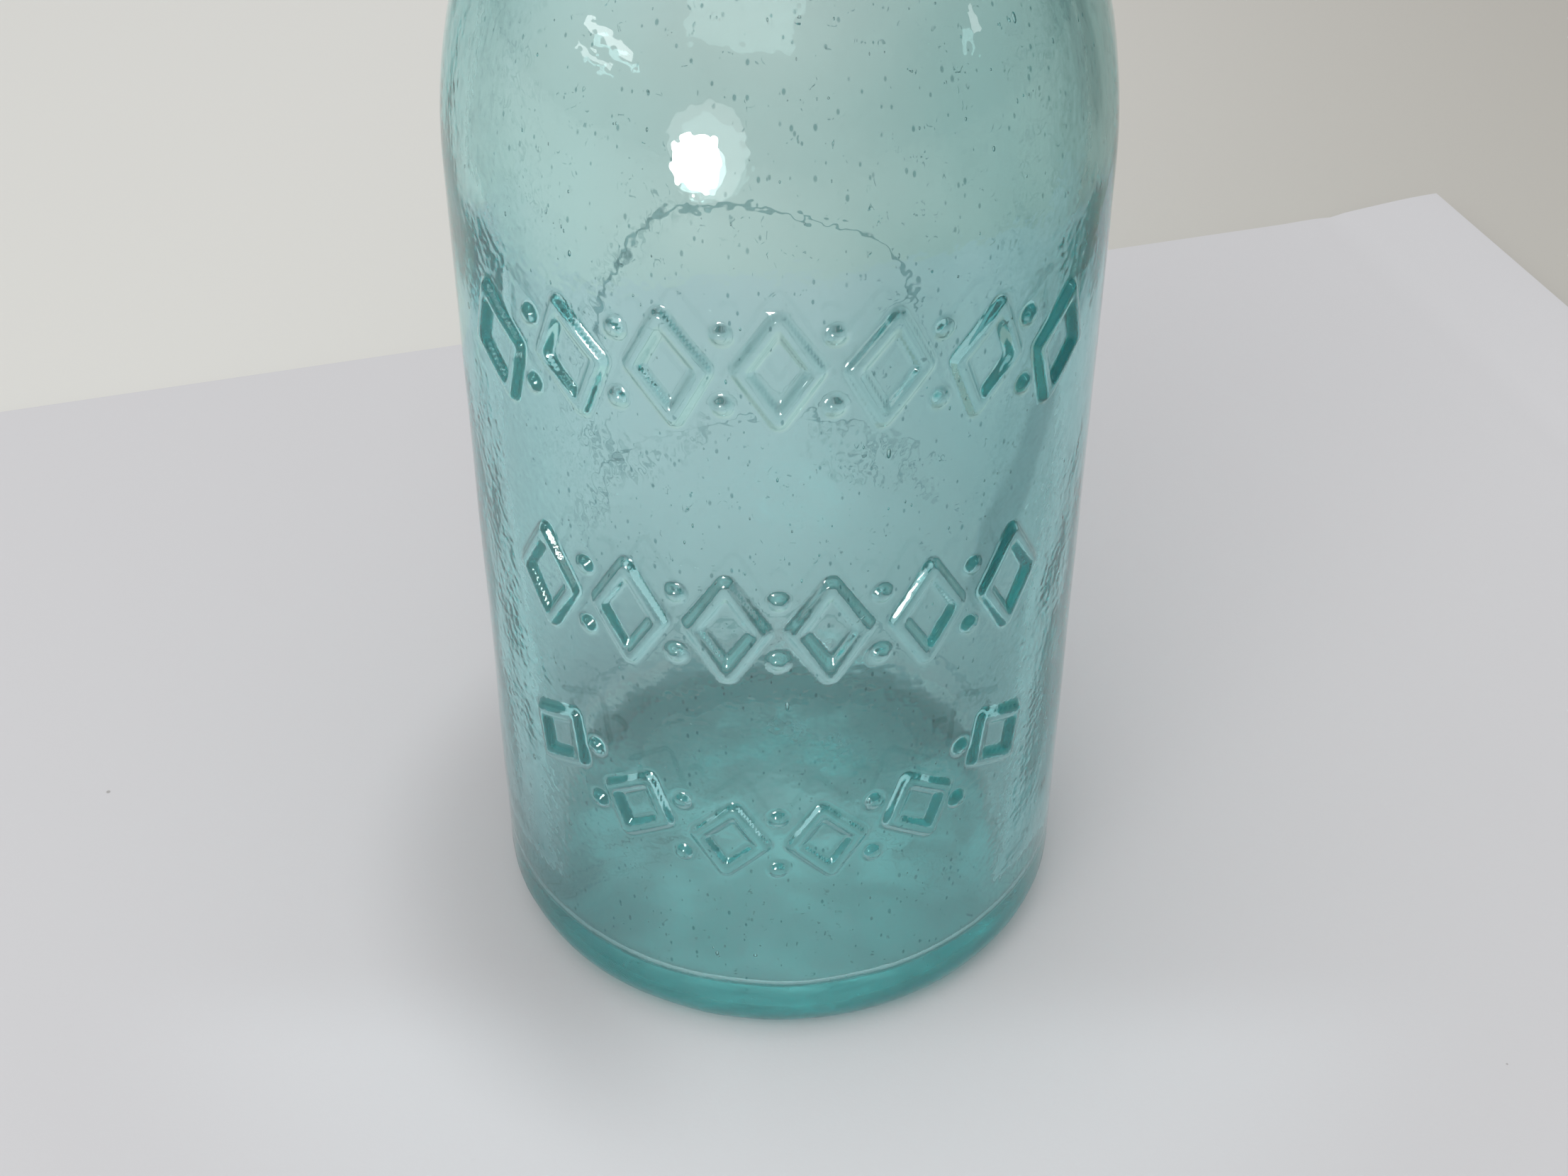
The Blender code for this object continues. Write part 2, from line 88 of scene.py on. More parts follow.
class GlassSizes(bpy.types.PropertyGroup):
    body_radius: length("Body radius", "Outside of the straight side", GLASS_HIGH[0] - 0.0001)
    wall: length("Wall", "Glass thickness at the top of the straight side", 0.0031)
    foot_wall: length("Foot wall", "Extra glass thickness near the foot of the side", 0.0008)
    foot_top: length("Foot top", "Height where the side starts to thicken towards the foot", 0.0700)
    thin_shoulder: length("Thin shoulder", "How much thinner the wall is round the shoulder", 0.0006)
    floor: length("Floor", "Height of the inside floor at its edge", 0.0052)
    floor_rise: length("Floor rise", "How far the inside floor swells in the middle", 0.0002)
    heel_radius: length("Heel radius", "Rounding of the outside heel", 0.0052)
    inner_heel_radius: length("Inner heel radius", "Rounding where the inside meets its floor", 0.0030)
    push_up_radius: length("Push-up radius", "Inner edge of the resting ring", 0.0210)
    push_up_depth: length("Push-up depth", "How far the base rises in the middle", 0.0032)
    side_top: length("Side top", "Where the shoulder starts", 0.0900)
    shoulder_inset: length("Shoulder inset", "Half-width of the shoulder's ellipse", 0.0190)
    shoulder_rise: length("Shoulder rise", "Half-height of the shoulder's ellipse", 0.0330)
    shoulder_sweep: amount(
        "Shoulder sweep", "Angle that the shoulder runs round its ellipse", math.radians(62),
        subtype="ANGLE",
    )
    neck_base_radius: length("Neck foot radius", "Outside at the foot of the neck", 0.0139)
    neck_top_radius: length("Neck top radius", "Outside just under the lip", 0.0125)
    neck_length: length("Neck length", "From the shoulder's end to the lip", 0.0160)
    neck_wall: length("Neck wall", "Glass thickness of the neck", 0.0043)
    bore_radius: length("Bore radius", "Inside of the mouth", 0.0083)
    lip_radius: length("Lip radius", "Outside of the blob lip", LIP_HIGH[0] - 0.0001)
    lip_land_radius: length("Lip land radius", "Outer edge of the lip's flat top", 0.0112)
    mouth_round: length("Mouth rounding", "Rounding of the mouth's inner edge", 0.0014)
    outer_wave: length("Outer unevenness", "Height of the mould's waves on the outside", 0.00003)
    inner_wave: length("Inner unevenness", "Height of the waves on the blown inside", 0.00007)
    floor_wave: length("Floor unevenness", "Height of the dimples round the inside floor", 0.00022)
    seam: length("Mould seam", "Height of the two seams down the sides", 0.00007)
    seeds: IntProperty(name="Seeds", description="Number of larger bubbles in the wall", default=120, min=0)
    fine_seeds: IntProperty(name="Fine seeds", description="Number of tiny bubbles", default=1000, min=0)
    seed_radius: length("Seed radius", "Radius of the largest bubble", 0.00028)


class OrnamentSizes(bpy.types.PropertyGroup):
    relief: length("Relief", "How far the ornament stands out of the side", 0.00060)
    stroke: length("Stroke", "Half-width of a stroke at its foot", 0.00105)
    pellet: length("Pellet", "Radius of a pellet at its foot", 0.00120)
    pellet_offset: length("Pellet offset", "Height of a pellet over the row's middle", 0.0035)
    lozenge_width: length("Lozenge width", "Width along the row, to the middle of the stroke", 0.0064)
    pitch: length("Pitch", "Distance from one lozenge to the next", 0.0095)
    top_row: length("Top row", "Height of the top row's middle at the front", 0.0840)
    middle_row: length("Middle row", "Height of the middle row", 0.0560)
    bottom_row: length("Bottom row", "Height of the bottom row's middle at the front", 0.0292)
    top_tall: length("Top lozenge", "Height of a lozenge in the top row", 0.0098)
    middle_tall: length("Middle lozenge", "Height of a lozenge in the middle row", 0.0104)
    bottom_tall: length("Bottom lozenge", "Height of a lozenge in the bottom row", 0.0082)


class StopperSizes(bpy.types.PropertyGroup):
    wire_radius: length("Wire radius", "Radius of the spring wire", 0.00125)
    leg_spacing: length("Leg spacing", "Between the middles of the wire's legs", 0.0052)
    leg_straight: length("Leg straight", "Straight wire over the upper plate", 0.0015)
    spread: length("Spread", "Half-width of the wire where it presses on the bore", 0.00645)
    spread_height: length("Spread height", "From the legs' bend to the widest place", 0.0130)
    waist_width: length("Waist width", "Between the middles of the wire at the waist", 0.0058)
    eye_radius: length("Eye radius", "Radius of the pull loop", 0.0087)
    eye_to_waist: length("Eye to waist", "From the loop's centre down to the waist", 0.0130)
    rivet_radius: length("Rivet radius", "Peened head under the lower plate", 0.0021)
    rivet_height: length("Rivet height", "Height of the peened head", 0.0012)


class Finishes(bpy.types.PropertyGroup):
    glass_absorbs: colour("Glass tint", "Colour that the glass lets through", (0.02, 0.872, 0.874))
    glass_density: amount("Glass density", "Strength of the tint, per metre", 78.0)
    deep_edge: colour("Deep edge", "Tone of the glass where it is seen edge on", (0.52, 0.66, 0.67))
    trapped_depth: amount(
        "Trapped light", "Turns inside the glass after which light is let out", 13.5, min=2.0
    )
    dust: colour("Dust", "Thin dust on the shoulder and neck", (0.935, 0.90, 0.895))
    # Painted shade: darkens the glass over its right-hand side, away from the light.
    side_film: colour("Side film", "Film on the right-hand side", (0.74, 0.84, 0.84))
    # Darker tone low towards both edges of the glass, stronger on the left.
    foot_film: colour("Foot film", "Film low on both sides", (0.62, 0.67, 0.69))
    # Darker tone over the heel, weaker along a band near its foot.
    heel_film: colour("Heel tone", "Scuffed glass of the heel", (0.88, 0.74, 0.74))
    # Also the tone of the painted shade in dark bands down the right flank.
    stain: colour("Stain and shade", "Tide mark on the inside of the back wall", (0.10, 0.27, 0.29))
    # Painted shade in the corner round the inside floor, at the back.
    dregs: colour("Corner shade", "Dirt settled round the inside floor", (0.03, 0.33, 0.35))
    haze: colour("Haze", "Dried film inside the tide mark", (0.98, 0.99, 0.99))
    tin: colour("Tin", "Tinned face of the plates", (0.46, 0.44, 0.40))
    steel: colour("Wire steel", "Worn face of the spring wire", (0.34, 0.31, 0.28))
    rust: colour("Rust", "Rust in the pits and on edges", (0.17, 0.070, 0.030))
    rubber: colour("Rubber", "Old black rubber", (0.045, 0.040, 0.037))
    bloom: colour("Rubber bloom", "Grey-brown bloom on the rubber", (0.17, 0.15, 0.13))


class StageSettings(bpy.types.PropertyGroup):
    paper: colour("Paper", "Sheet under the bottle", (0.640, 0.635, 0.655))
    # Painted light on the sheet just in front of the bottle.
    paper_front: colour("Lit front paper", "Sheet just in front of the bottle", (0.705, 0.710, 0.735))
    paper_lit: colour("Lit paper", "Sheet under the glass foot, where light gathers", (0.485, 0.70, 0.70))
    paper_dim: colour("Dim paper", "Sheet in the shade under the back of the foot", (0.0, 0.44, 0.46))
    paper_glow: colour("Gathered light", "Light that the foot gathers on the sheet", (0.10, 0.20, 0.20))
    table: colour("Table", "Table under the sheet, at the left", (0.715, 0.712, 0.685))
    # Painted shade: the table at the right is darker, as if in shade.
    table_right: colour("Table in shade", "Table under the sheet, at the right", (0.470, 0.452, 0.415))
    room: colour("Room", "Light from the walls at the back", (0.62, 0.61, 0.595))
    windows: colour("Windows", "Light from high on the walls at the front", (0.90, 0.90, 0.89))
    low_walls: colour("Low walls", "Light from the furniture and low walls all round", (0.34, 0.34, 0.33))
    ceiling: colour("Ceiling", "Light from above", (0.96, 0.965, 0.97))
    window_power: amount("Window", "Lamp that shows in the shoulder", 1.6)
    ceiling_power: amount("Ceiling lamp", "Soft lamp overhead", 4.4)


GROUPS = {
    "bottle_glass": GlassSizes,
    "bottle_ornament": OrnamentSizes,
    "bottle_stopper": StopperSizes,
    "bottle_finish": Finishes,
    "bottle_stage": StageSettings,
}


# Shapes

SEAT_GAP = 0.0003  # between pieces that touch on a real bottle
FRONT = math.radians(66)  # the ornament and the close mesh reach this far round, to both sides
COARSE_COLUMNS, FINE_SPLIT = 120, 6
COARSE_STEP, FINE_STEP = 0.0015, 0.00033
ORNAMENT_EDGE = 0.0016  # close rows over and under the ornament
ROW_GAP = 0.0004
SEAM_WIDTH = 0.0004
THIN_FROM, THIN_TO = (0.078, 0.094), (0.125, 0.113)  # heights that the thin shoulder fades over
BASE_HOLLOW, LIP_SAG = 0.00006, 0.00010
TOOL_MARK, TOOL_PITCH = 0.00004, 0.0014  # rings that the lip's tool left

# The glass's skin in the order of its outline
KINDS = ("base", "heel", "side", "neck", "lip", "bore", "inside", "floor")


def ease(value, start, end):
    """Goes smoothly from 0 at the start to 1 at the end."""
    part = np.clip((value - start) / (end - start), 0.0, 1.0)
    return part * part * (3 - 2 * part)


def waves(places, seed, count, shortest, longest, stretch=1.0):
    """A smooth uneven field of about unit size: plane waves in random directions."""
    draw = np.random.RandomState(seed)
    total = np.zeros(len(places))
    for _ in range(count):
        way = draw.normal(size=3)
        way /= np.linalg.norm(way)
        way[2] /= stretch
        span = shortest * (longest / shortest) ** draw.rand()
        total += np.sin(places @ way * (math.tau / span) + draw.rand() * math.tau)
    return np.clip(total / math.sqrt(count / 2), -2.2, 2.2)


def add_piece(name, mesh, material, body):
    """Links a mesh as a piece of the bottle that rides on a body."""
    piece = bpy.data.objects.new(name, mesh)
    bpy.context.scene.collection.objects.link(piece)
    mesh.materials.append(material)
    mesh.shade_smooth()
    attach(piece, body)
    return piece


def arc(centre, radius, start, end, steps):
    """Points of an arc about (radius, height) centre, from the start angle to the end angle."""
    return [
        (centre[0] + radius * math.cos(start + (end - start) * i / steps),
         centre[1] + radius * math.sin(start + (end - start) * i / steps))
        for i in range(steps + 1)
    ]


def shoulder_curve(sizes, ellipse_steps, sweep_steps):
    """The outside from the straight side to the foot of the neck, as (radius, height, tilt)."""
    curve = []
    for i in range(ellipse_steps + 1):
        turn = sizes.shoulder_sweep * i / ellipse_steps
        curve.append((
            sizes.body_radius - sizes.shoulder_inset * (1 - math.cos(turn)),
            sizes.side_top + sizes.shoulder_rise * math.sin(turn),
            math.atan2(sizes.shoulder_inset * math.sin(turn), sizes.shoulder_rise * math.cos(turn)),
        ))
    radius, height, tilt = curve[-1]
    end = math.atan2(sizes.neck_base_radius - sizes.neck_top_radius, sizes.neck_length)
    sweep = (radius - sizes.neck_base_radius) / (math.cos(end) - math.cos(tilt))
    for i in range(1, sweep_steps + 1):
        lean = tilt + (end - tilt) * i / sweep_steps
        curve.append((
            radius - sweep * (math.cos(lean) - math.cos(tilt)),
            height + sweep * (math.sin(tilt) - math.sin(lean)),
            lean,
        ))
    return curve


def neck_curve(sizes, steps):
    radius, height, tilt = shoulder_curve(sizes, 8, 6)[-1]
    taper = sizes.neck_top_radius - radius
    return [
        (radius + taper * i / steps, height + sizes.neck_length * i / steps, tilt)
        for i in range(1, steps + 1)
    ]


def side_heights(sizes, ornament):
    """Heights up the straight side, close together where the ornament is. Each has a fine flag."""
    bands = []
    for middle, tall, motifs, bend in ornament_rows(ornament):
        reach = ((motifs - 1) / 2 * ornament.pitch / sizes.body_radius) ** 2 * bend
        low, high = sorted((middle, middle + reach))
        margin = tall / 2 + ORNAMENT_EDGE
        bands.append((low - margin, min(high + margin, sizes.side_top - ROW_GAP)))
    heights = []
    at = sizes.heel_radius + 0.0012
    for low, high in sorted(bands) + [(sizes.side_top, None)]:
        steps = max(1, round((low - at) / COARSE_STEP))
        heights += [(at + (low - at) * i / steps, False) for i in range(steps) if low - at > FINE_STEP]
        if high:
            steps = round((high - low) / FINE_STEP)
            heights += [(low + (high - low) * i / steps, True) for i in range(steps + 1)]
            at = high + ROW_GAP
    return heights


def ornament_rows(ornament):
    """Height, lozenge height, number of lozenges and bend of each row."""
    return (
        (ornament.top_row, ornament.top_tall, 7, -0.0053),
        (ornament.middle_row, ornament.middle_tall, 6, 0.0),
        (ornament.bottom_row, ornament.bottom_tall, 6, 0.0115),
    )


def lip_curve(sizes, steps):
    """From the neck over the blob lip, a flattened round, to the rounded edge of the mouth."""
    seat = neck_curve(sizes, 1)[-1][1] + SEAT_GAP
    top, inner, power = LIP_HIGH[2], sizes.lip_land_radius, 2 / 2.6
    half = (top - seat) / 2
    points = []
    for i in range(steps + 1):
        turn = math.radians(158) * i / steps - math.radians(68)
        radius = inner + (sizes.lip_radius - inner) * max(math.cos(turn), 0.0) ** power
        points.append((radius, seat + half + half * math.copysign(abs(math.sin(turn)) ** power, turn)))
    corner = (sizes.bore_radius + sizes.mouth_round, top - sizes.mouth_round)
    return points + arc(corner, sizes.mouth_round, math.pi / 2, math.pi, 7)


def between(start, end, steps):
    """Evenly spaced (radius, height) points between two others, without them."""
    return [
        tuple(a + (b - a) * i / steps for a, b in zip(start, end)) for i in range(1, steps)
    ]


def glass_rows(sizes, ornament):
    """The glass's outline as rows (radius, height, kind, fine), from the base's middle to the floor's."""
    rows = []

    def add(kind, points):
        rows.extend((radius, height, kind, False) for radius, height, *_ in points)

    for i in range(1, 9):
        part = i / 8
        add("base", [(sizes.push_up_radius * part, sizes.push_up_depth * (1 - part * part) ** 1.5)])
    ring = sizes.body_radius - sizes.heel_radius
    add("base", between((sizes.push_up_radius, 0.0), (ring, 0.0), 4))
    add("heel", arc((ring, sizes.heel_radius), sizes.heel_radius, -math.pi / 2, 0, 12))
    rows += [(sizes.body_radius, z, "side", fine) for z, fine in side_heights(sizes, ornament)]
    add("side", shoulder_curve(sizes, 28, 14))
    add("neck", neck_curve(sizes, 8)[:-1])
    add("lip", lip_curve(sizes, 30))
    seat = (sizes.bore_radius, neck_curve(sizes, 1)[-1][1])
    add("bore", between((sizes.bore_radius, rows[-1][1]), seat, 7) + [seat])
    inside = shoulder_curve(sizes, 24, 14)
    inside = [inner_point(sizes, point, i / (len(inside) - 1)) for i, point in enumerate(inside)]
    add("inside", between(seat, inside[-1], 8))
    add("inside", reversed(inside))
    inner = sizes.body_radius - sizes.wall
    low = sizes.floor + sizes.inner_heel_radius
    add("inside", between((inner, sizes.side_top), (inner, low), 46))
    corner = (inner - sizes.inner_heel_radius, low)
    add("inside", arc(corner, sizes.inner_heel_radius, 0, -math.pi / 2, 8))
    for i in range(1, 14):
        part = 1 - i / 14
        add("floor", [(corner[0] * part, sizes.floor + sizes.floor_rise * (1 - part * part) ** 2)])
    return rows


def inner_point(sizes, point, along):
    radius, height, tilt = point
    wall = sizes.wall + (sizes.neck_wall - sizes.wall) * along
    return radius - wall * math.cos(tilt), height - wall * math.sin(tilt)


def ornament_relief(sizes, ornament, turn, height):
    """How far the ornament stands out at each turn and height of the straight side, from 0 to 1."""
    raised = np.zeros(len(turn))
    along = turn * sizes.body_radius
    wide = ornament.lozenge_width / 2
    for middle, tall, motifs, bend in ornament_rows(ornament):
        for i in range(2 * motifs - 1):
            at = (i - (motifs - 1)) / 2 * ornament.pitch / sizes.body_radius
            level = middle + bend * at * at
            x, z = along - at * sizes.body_radius, height - level
            near = (abs(x) < wide + 0.003) & (abs(z) < tall)
            x, z = x[near], z[near]
            if i % 2:
                reach = np.hypot(x, abs(z) - ornament.pellet_offset) / ornament.pellet
            else:
                slope = math.atan2(2 * bend * at, sizes.body_radius)
                side = x * math.cos(slope) + z * math.sin(slope)
                rise = z * math.cos(slope) - x * math.sin(slope)
                reach = stroke_reach(abs(side), abs(rise), wide, tall / 2) / ornament.stroke
            raised[near] = np.maximum(raised[near], ease(reach, 1.0, 0.28))
    return raised


def stroke_reach(x, z, wide, tall):
    """Distance to a lozenge's outline, from inside or outside its first quarter."""
    span = math.hypot(wide, tall)
    part = np.clip(((wide - x) * wide + z * tall) / (span * span), 0.0, 1.0)
    return np.hypot(x - wide * (1 - part), z - tall * part)


def unit_ball(subdivisions):
    """The places and the faces of a small round ball, with its faces pointing in."""
    shape = bmesh.new()
    bmesh.ops.create_icosphere(shape, subdivisions=subdivisions, radius=1.0)
    shape.verts.ensure_lookup_table()
    places = np.array([vert.co for vert in shape.verts])
    faces = np.array([[vert.index for vert in reversed(face.verts)] for face in shape.faces])
    shape.free()
    return places, faces


def seeds(sizes):
    """Bubbles in the wall: closed hollows, drawn out along the glass. Gives places and faces."""
    draw = np.random.RandomState(11)
    curve = [(sizes.body_radius, 0.006 + 0.0042 * i, 0.0) for i in range(20)]
    curve += shoulder_curve(sizes, 10, 6)
    balls = unit_ball(2), unit_ball(1)
    all_places, all_faces = [], []
    count = 0
    for i in range(sizes.seeds + sizes.fine_seeds):
        large = i < sizes.seeds
        ball, ball_faces = balls[0 if large else 1]
        radius, height, tilt = curve[int(len(curve) * draw.rand() ** 0.8)]
        turn = draw.uniform(-math.pi, math.pi)
        if tilt == 0.0:
            height += draw.uniform(-0.0021, 0.0021)
        size = sizes.seed_radius * (0.34 + 0.66 * draw.rand() ** 3 if large else draw.uniform(0.17, 0.40))
        depth = draw.uniform(0.24, 0.72) * sizes.wall
        stretch = draw.uniform(1.0, 2.6)
        matrix = (
            Matrix.Rotation(turn - math.pi / 2, 4, "Z")
            @ Matrix.Translation((radius - depth * math.cos(tilt), 0, height - depth * math.sin(tilt)))
            @ Matrix.Rotation(-tilt, 4, "Y")
            @ Matrix.Diagonal((size * 0.8, size, size * stretch, 1.0))
        )
        turned = np.array(matrix)
        all_places.append(ball @ turned[:3, :3].T + turned[:3, 3])
        all_faces.append(ball_faces + count)
        count += len(ball)
    return np.concatenate(all_places), np.concatenate(all_faces)


def skin_places(turn, radius, height):
    return np.column_stack((radius * np.sin(turn), -radius * np.cos(turn), height))


def glass_mesh(sizes, ornament):
    """One closed skin of glass: the outside, the lip, the inside, and the bubbles in the wall."""
    rows = glass_rows(sizes, ornament)
    step = math.tau / COARSE_COLUMNS
    coarse = np.linspace(-math.pi, math.pi, COARSE_COLUMNS, endpoint=False)
    splits = [FINE_SPLIT if abs(turn + step / 2) < FRONT else 1 for turn in coarse]
    fine = np.concatenate([turn + step * np.arange(split) / split for turn, split in zip(coarse, splits)])
    rings = [fine if flag else coarse for *_, flag in rows]
    counts = [len(ring) for ring in rings]
    path = np.array([row[:2] for row in rows])
    way = np.gradient(path, axis=0)
    way /= np.linalg.norm(way, axis=1)[:, None]
    turn = np.concatenate(rings)
    radius, height = np.repeat(path, counts, axis=0).T
    back, rise = np.repeat(way, counts, axis=0).T
    kind = np.repeat([KINDS.index(row[2]) for row in rows], counts)
    push = glass_push(sizes, ornament, turn, radius, height, kind)
    limit = np.where(abs(turn) < FRONT, -GLASS_LOW[1], GLASS_HIGH[0])
    radius = np.minimum(radius + push * rise, limit)
    places = skin_places(turn, radius, np.maximum(height - push * back, 0.0))
    floor_middle = sizes.floor + sizes.floor_rise
    verts = [(0.0, 0.0, sizes.push_up_depth), *map(tuple, places), (0.0, 0.0, floor_middle)]
    columns = [
        ring_columns(1 + sum(counts[:i]), splits if row[3] else [1] * len(splits))
        for i, row in enumerate(rows)
    ]
    faces = [(0, after, first) for first, after in columns[0]]
    for low, high in zip(columns, columns[1:]):
        faces += ring_faces(low, high)
    faces += [(first, after, len(verts) - 1) for first, after in columns[-1]]
    bubble_places, bubble_faces = seeds(sizes)
    faces += (bubble_faces + len(verts)).tolist()
    mesh = bpy.data.meshes.new("bottle_glass")
    mesh.from_pydata(verts + bubble_places.tolist(), [], faces)
    return mesh


def ring_columns(start, splits):
    """A ring's places from a start: for each coarse column its own, then the first of the next."""
    ends = list(accumulate(splits))
    return [
        [start + (end - split + k) % ends[-1] for k in range(split + 1)] for split, end in zip(splits, ends)
    ]


def ring_faces(low, high):
    """Faces between two rings: fours, and one face with more corners where only one ring is split."""
    faces = []
    for under, over in zip(low, high):
        if len(under) == len(over):
            faces += [(a, b, d, c) for a, b, c, d in zip(under, under[1:], over, over[1:])]
        else:
            faces.append((*under, *reversed(over)))
    return faces


def glass_push(sizes, ornament, turn, radius, height, kind):
    """How far each place of the skin moves out of its even outline."""
    places = skin_places(turn, radius, height)
    base, heel, side, neck, lip, _, inside, floor = (kind == i for i in range(len(KINDS)))
    outer = sizes.outer_wave * waves(places, 3, 26, 0.006, 0.022, 2.0)
    for seam_turn in (-math.pi / 2, math.pi / 2):
        offset = (turn - seam_turn) * sizes.body_radius
        outer += sizes.seam * np.exp(-(offset / SEAM_WIDTH) ** 2) * ease(height, 0.004, 0.008)
    blown = sizes.inner_wave * waves(places, 5, 30, 0.020, 0.060, 1.6)
    foot = ease(height, sizes.foot_top, sizes.foot_top - 0.060)
    inner = sizes.foot_wall * foot * ease(height, sizes.floor, sizes.floor + 0.006)
    inner -= sizes.thin_shoulder * ease(height, *THIN_FROM) * ease(height, *THIN_TO)
    inner -= blown * ease(radius, sizes.bore_radius, sizes.bore_radius + 0.012)
    dimples = sizes.floor_wave * waves(places, 17, 24, 0.007, 0.020)
    dimples *= 0.25 + 0.75 * ease(places[:, 1], -0.004, 0.014)
    hollows = -BASE_HOLLOW * abs(waves(places, 9, 20, 0.006, 0.02))
    hollows *= ease(radius, sizes.push_up_radius + 0.001, sizes.push_up_radius - 0.002)
    tooling = TOOL_MARK * np.sin(height * math.tau / TOOL_PITCH) * ease(radius, 0.0125, 0.0140)
    tooling -= LIP_SAG * (1 + 0.45 * waves(places, 13, 14, 0.012, 0.04))
    push = np.select(
        (side | heel | neck, inside, floor, base, lip),
        (outer, inner, blown + dimples * ease(radius, 0.0, 0.012), hollows, tooling),
    )
    corner = inside & (height < sizes.floor + sizes.inner_heel_radius + 0.004)
    push[corner] += dimples[corner]
    sides = side & (height < sizes.side_top) & (abs(turn) < FRONT)
    push[sides] += ornament.relief * ornament_relief(sizes, ornament, turn[sides], height[sides])
    return push


# Finishes

BLACK = (0.0, 0.0, 0.0)
WALL_MIDDLE = 0.0294  # a radius between the inside and the outside of the wall

# The tide mark's loop: turn round its middle as a share of a full turn, and reach in metres
TIDE_LOOP = (
    (0.0, 0.0190), (0.053, 0.0200), (0.071, 0.0198), (0.122, 0.0173), (0.20, 0.0137), (0.293, 0.0149),
    (0.369, 0.0187), (0.41, 0.0179), (0.463, 0.0193), (0.534, 0.0200), (0.63, 0.0205), (0.694, 0.0170),
    (0.75, 0.0175), (0.833, 0.0190), (0.903, 0.0210), (0.958, 0.0200), (1.0, 0.0190),
)
TIDE_SPAN = 0.030
LEVEL_DROP, SCUM_DROP = 0.0129, 0.0162  # the straight line and the scum, below the loop's middle


class Signal:
    """An output in a node tree. Arithmetic on signals adds Math nodes."""

    def __init__(self, nodes, socket):
        self.nodes, self.socket = nodes, socket

    def __add__(self, other):
        return self.nodes.maths("ADD", self, other)

    def __sub__(self, other):
        return self.nodes.maths("SUBTRACT", self, other)

    def __rsub__(self, other):
        return self.nodes.maths("SUBTRACT", other, self)

    def __mul__(self, other):
        return self.nodes.maths("MULTIPLY", self, other)

    def __truediv__(self, other):
        return self.nodes.maths("DIVIDE", self, other)

    def __abs__(self):
        return self.nodes.maths("ABSOLUTE", self)

    def ramp(self, low, high, to_low=0.0, to_high=1.0):
        """Eases from one value to another as the signal goes from low to high."""
        feeds = {"Value": self, "From Min": low, "From Max": high, "To Min": to_low, "To Max": to_high}
        return self.nodes.signal("ShaderNodeMapRange", feeds, interpolation_type="SMOOTHSTEP")


class Nodes:
    """Adds nodes to one tree, and gives their outputs as signals."""

    def __init__(self, tree):
        self.tree = tree

    def fill(self, socket, value):
        """Links a signal to an input, or sets the input's own value."""
        if isinstance(value, Signal):
            self.tree.links.new(value.socket, socket)
        else:
            plain_colour = socket.type == "RGBA" and len(value) == 3
            socket.default_value = (*value, 1.0) if plain_colour else value

    def add(self, kind, feeds=None, **options):
        node = self.tree.nodes.new(kind)
        for name, value in options.items():
            setattr(node, name, value)
        for name, value in (feeds or {}).items():
            self.fill(node.inputs[name], value)
        return node

    def signal(self, kind, feeds=None, output=0, **options):
        return Signal(self, self.add(kind, feeds, **options).outputs[output])

    def signals(self, kind, feeds=None, **options):
        node = self.add(kind, feeds, **options)
        return {socket.name: Signal(self, socket) for socket in node.outputs}

    def maths(self, operation, *values):
        return self.signal("ShaderNodeMath", dict(enumerate(values)), operation=operation)

    def most(self, first, second):
        return self.maths("MAXIMUM", first, second)

    def split(self, vector):
        return self.signals("ShaderNodeSeparateXYZ", {0: vector}).values()

    def stretched(self, vector, scale):
        return self.signal("ShaderNodeVectorMath", {0: vector, 1: scale}, operation="MULTIPLY")

    def distance(self, x, y):
        """How far two coordinates are from their origin."""
        flat = self.signal("ShaderNodeCombineXYZ", {0: x, 1: y})
        return self.signal("ShaderNodeVectorMath", {0: flat}, "Value", operation="LENGTH")

    def inside(self, x, y):
        """1 on the inside of the body's wall, 0 on its outside."""
        return self.maths("LESS_THAN", self.distance(x, y), WALL_MIDDLE)

    def noise(self, vector, scale, detail=3.0, roughness=0.5):
        feeds = {"Vector": vector, "Scale": scale, "Detail": detail, "Roughness": roughness}
        return self.signal("ShaderNodeTexNoise", feeds, "Fac")

    def sway(self, vector, scale, detail, reach, roughness=0.5):
        """Noise to both sides of zero."""
        return (self.noise(vector, scale, detail, roughness) - 0.5) * reach

    def mix(self, factor, first, second, blend="MIX"):
        feeds = {0: factor, 6: first, 7: second}
        return self.signal("ShaderNodeMix", feeds, 2, data_type="RGBA", blend_type=blend)

    def bump(self, height, distance, strength=1.0):
        feeds = {"Height": height, "Distance": distance, "Strength": strength}
        return self.signal("ShaderNodeBump", feeds, "Normal")

    def group(self, make, vector, **numbers):
        """Uses a node group, made by the function of its name. Spaces are written as underscores."""
        tree = bpy.data.node_groups.get(make.__name__) or make()
        feeds = {name.replace("_", " "): value for name, value in numbers.items()}
        return self.signals("ShaderNodeGroup", {"Vector": vector, **feeds}, node_tree=tree)

    def finish_group(self, **results):
        """Adds the group's outputs. All are numbers."""
        for name in results:
            self.tree.interface.new_socket(
                name.replace("_", " "), in_out="OUTPUT", socket_type="NodeSocketFloat"
            )
        self.add("NodeGroupOutput", {name.replace("_", " "): value for name, value in results.items()})
        return self.tree

    def shade(self, **inputs):
        """Fills inputs of the material's shader. Spaces are written as underscores."""
        shader = self.tree.nodes["Principled BSDF"]
        for name, value in inputs.items():
            self.fill(shader.inputs[name.replace("_", " ")], value)


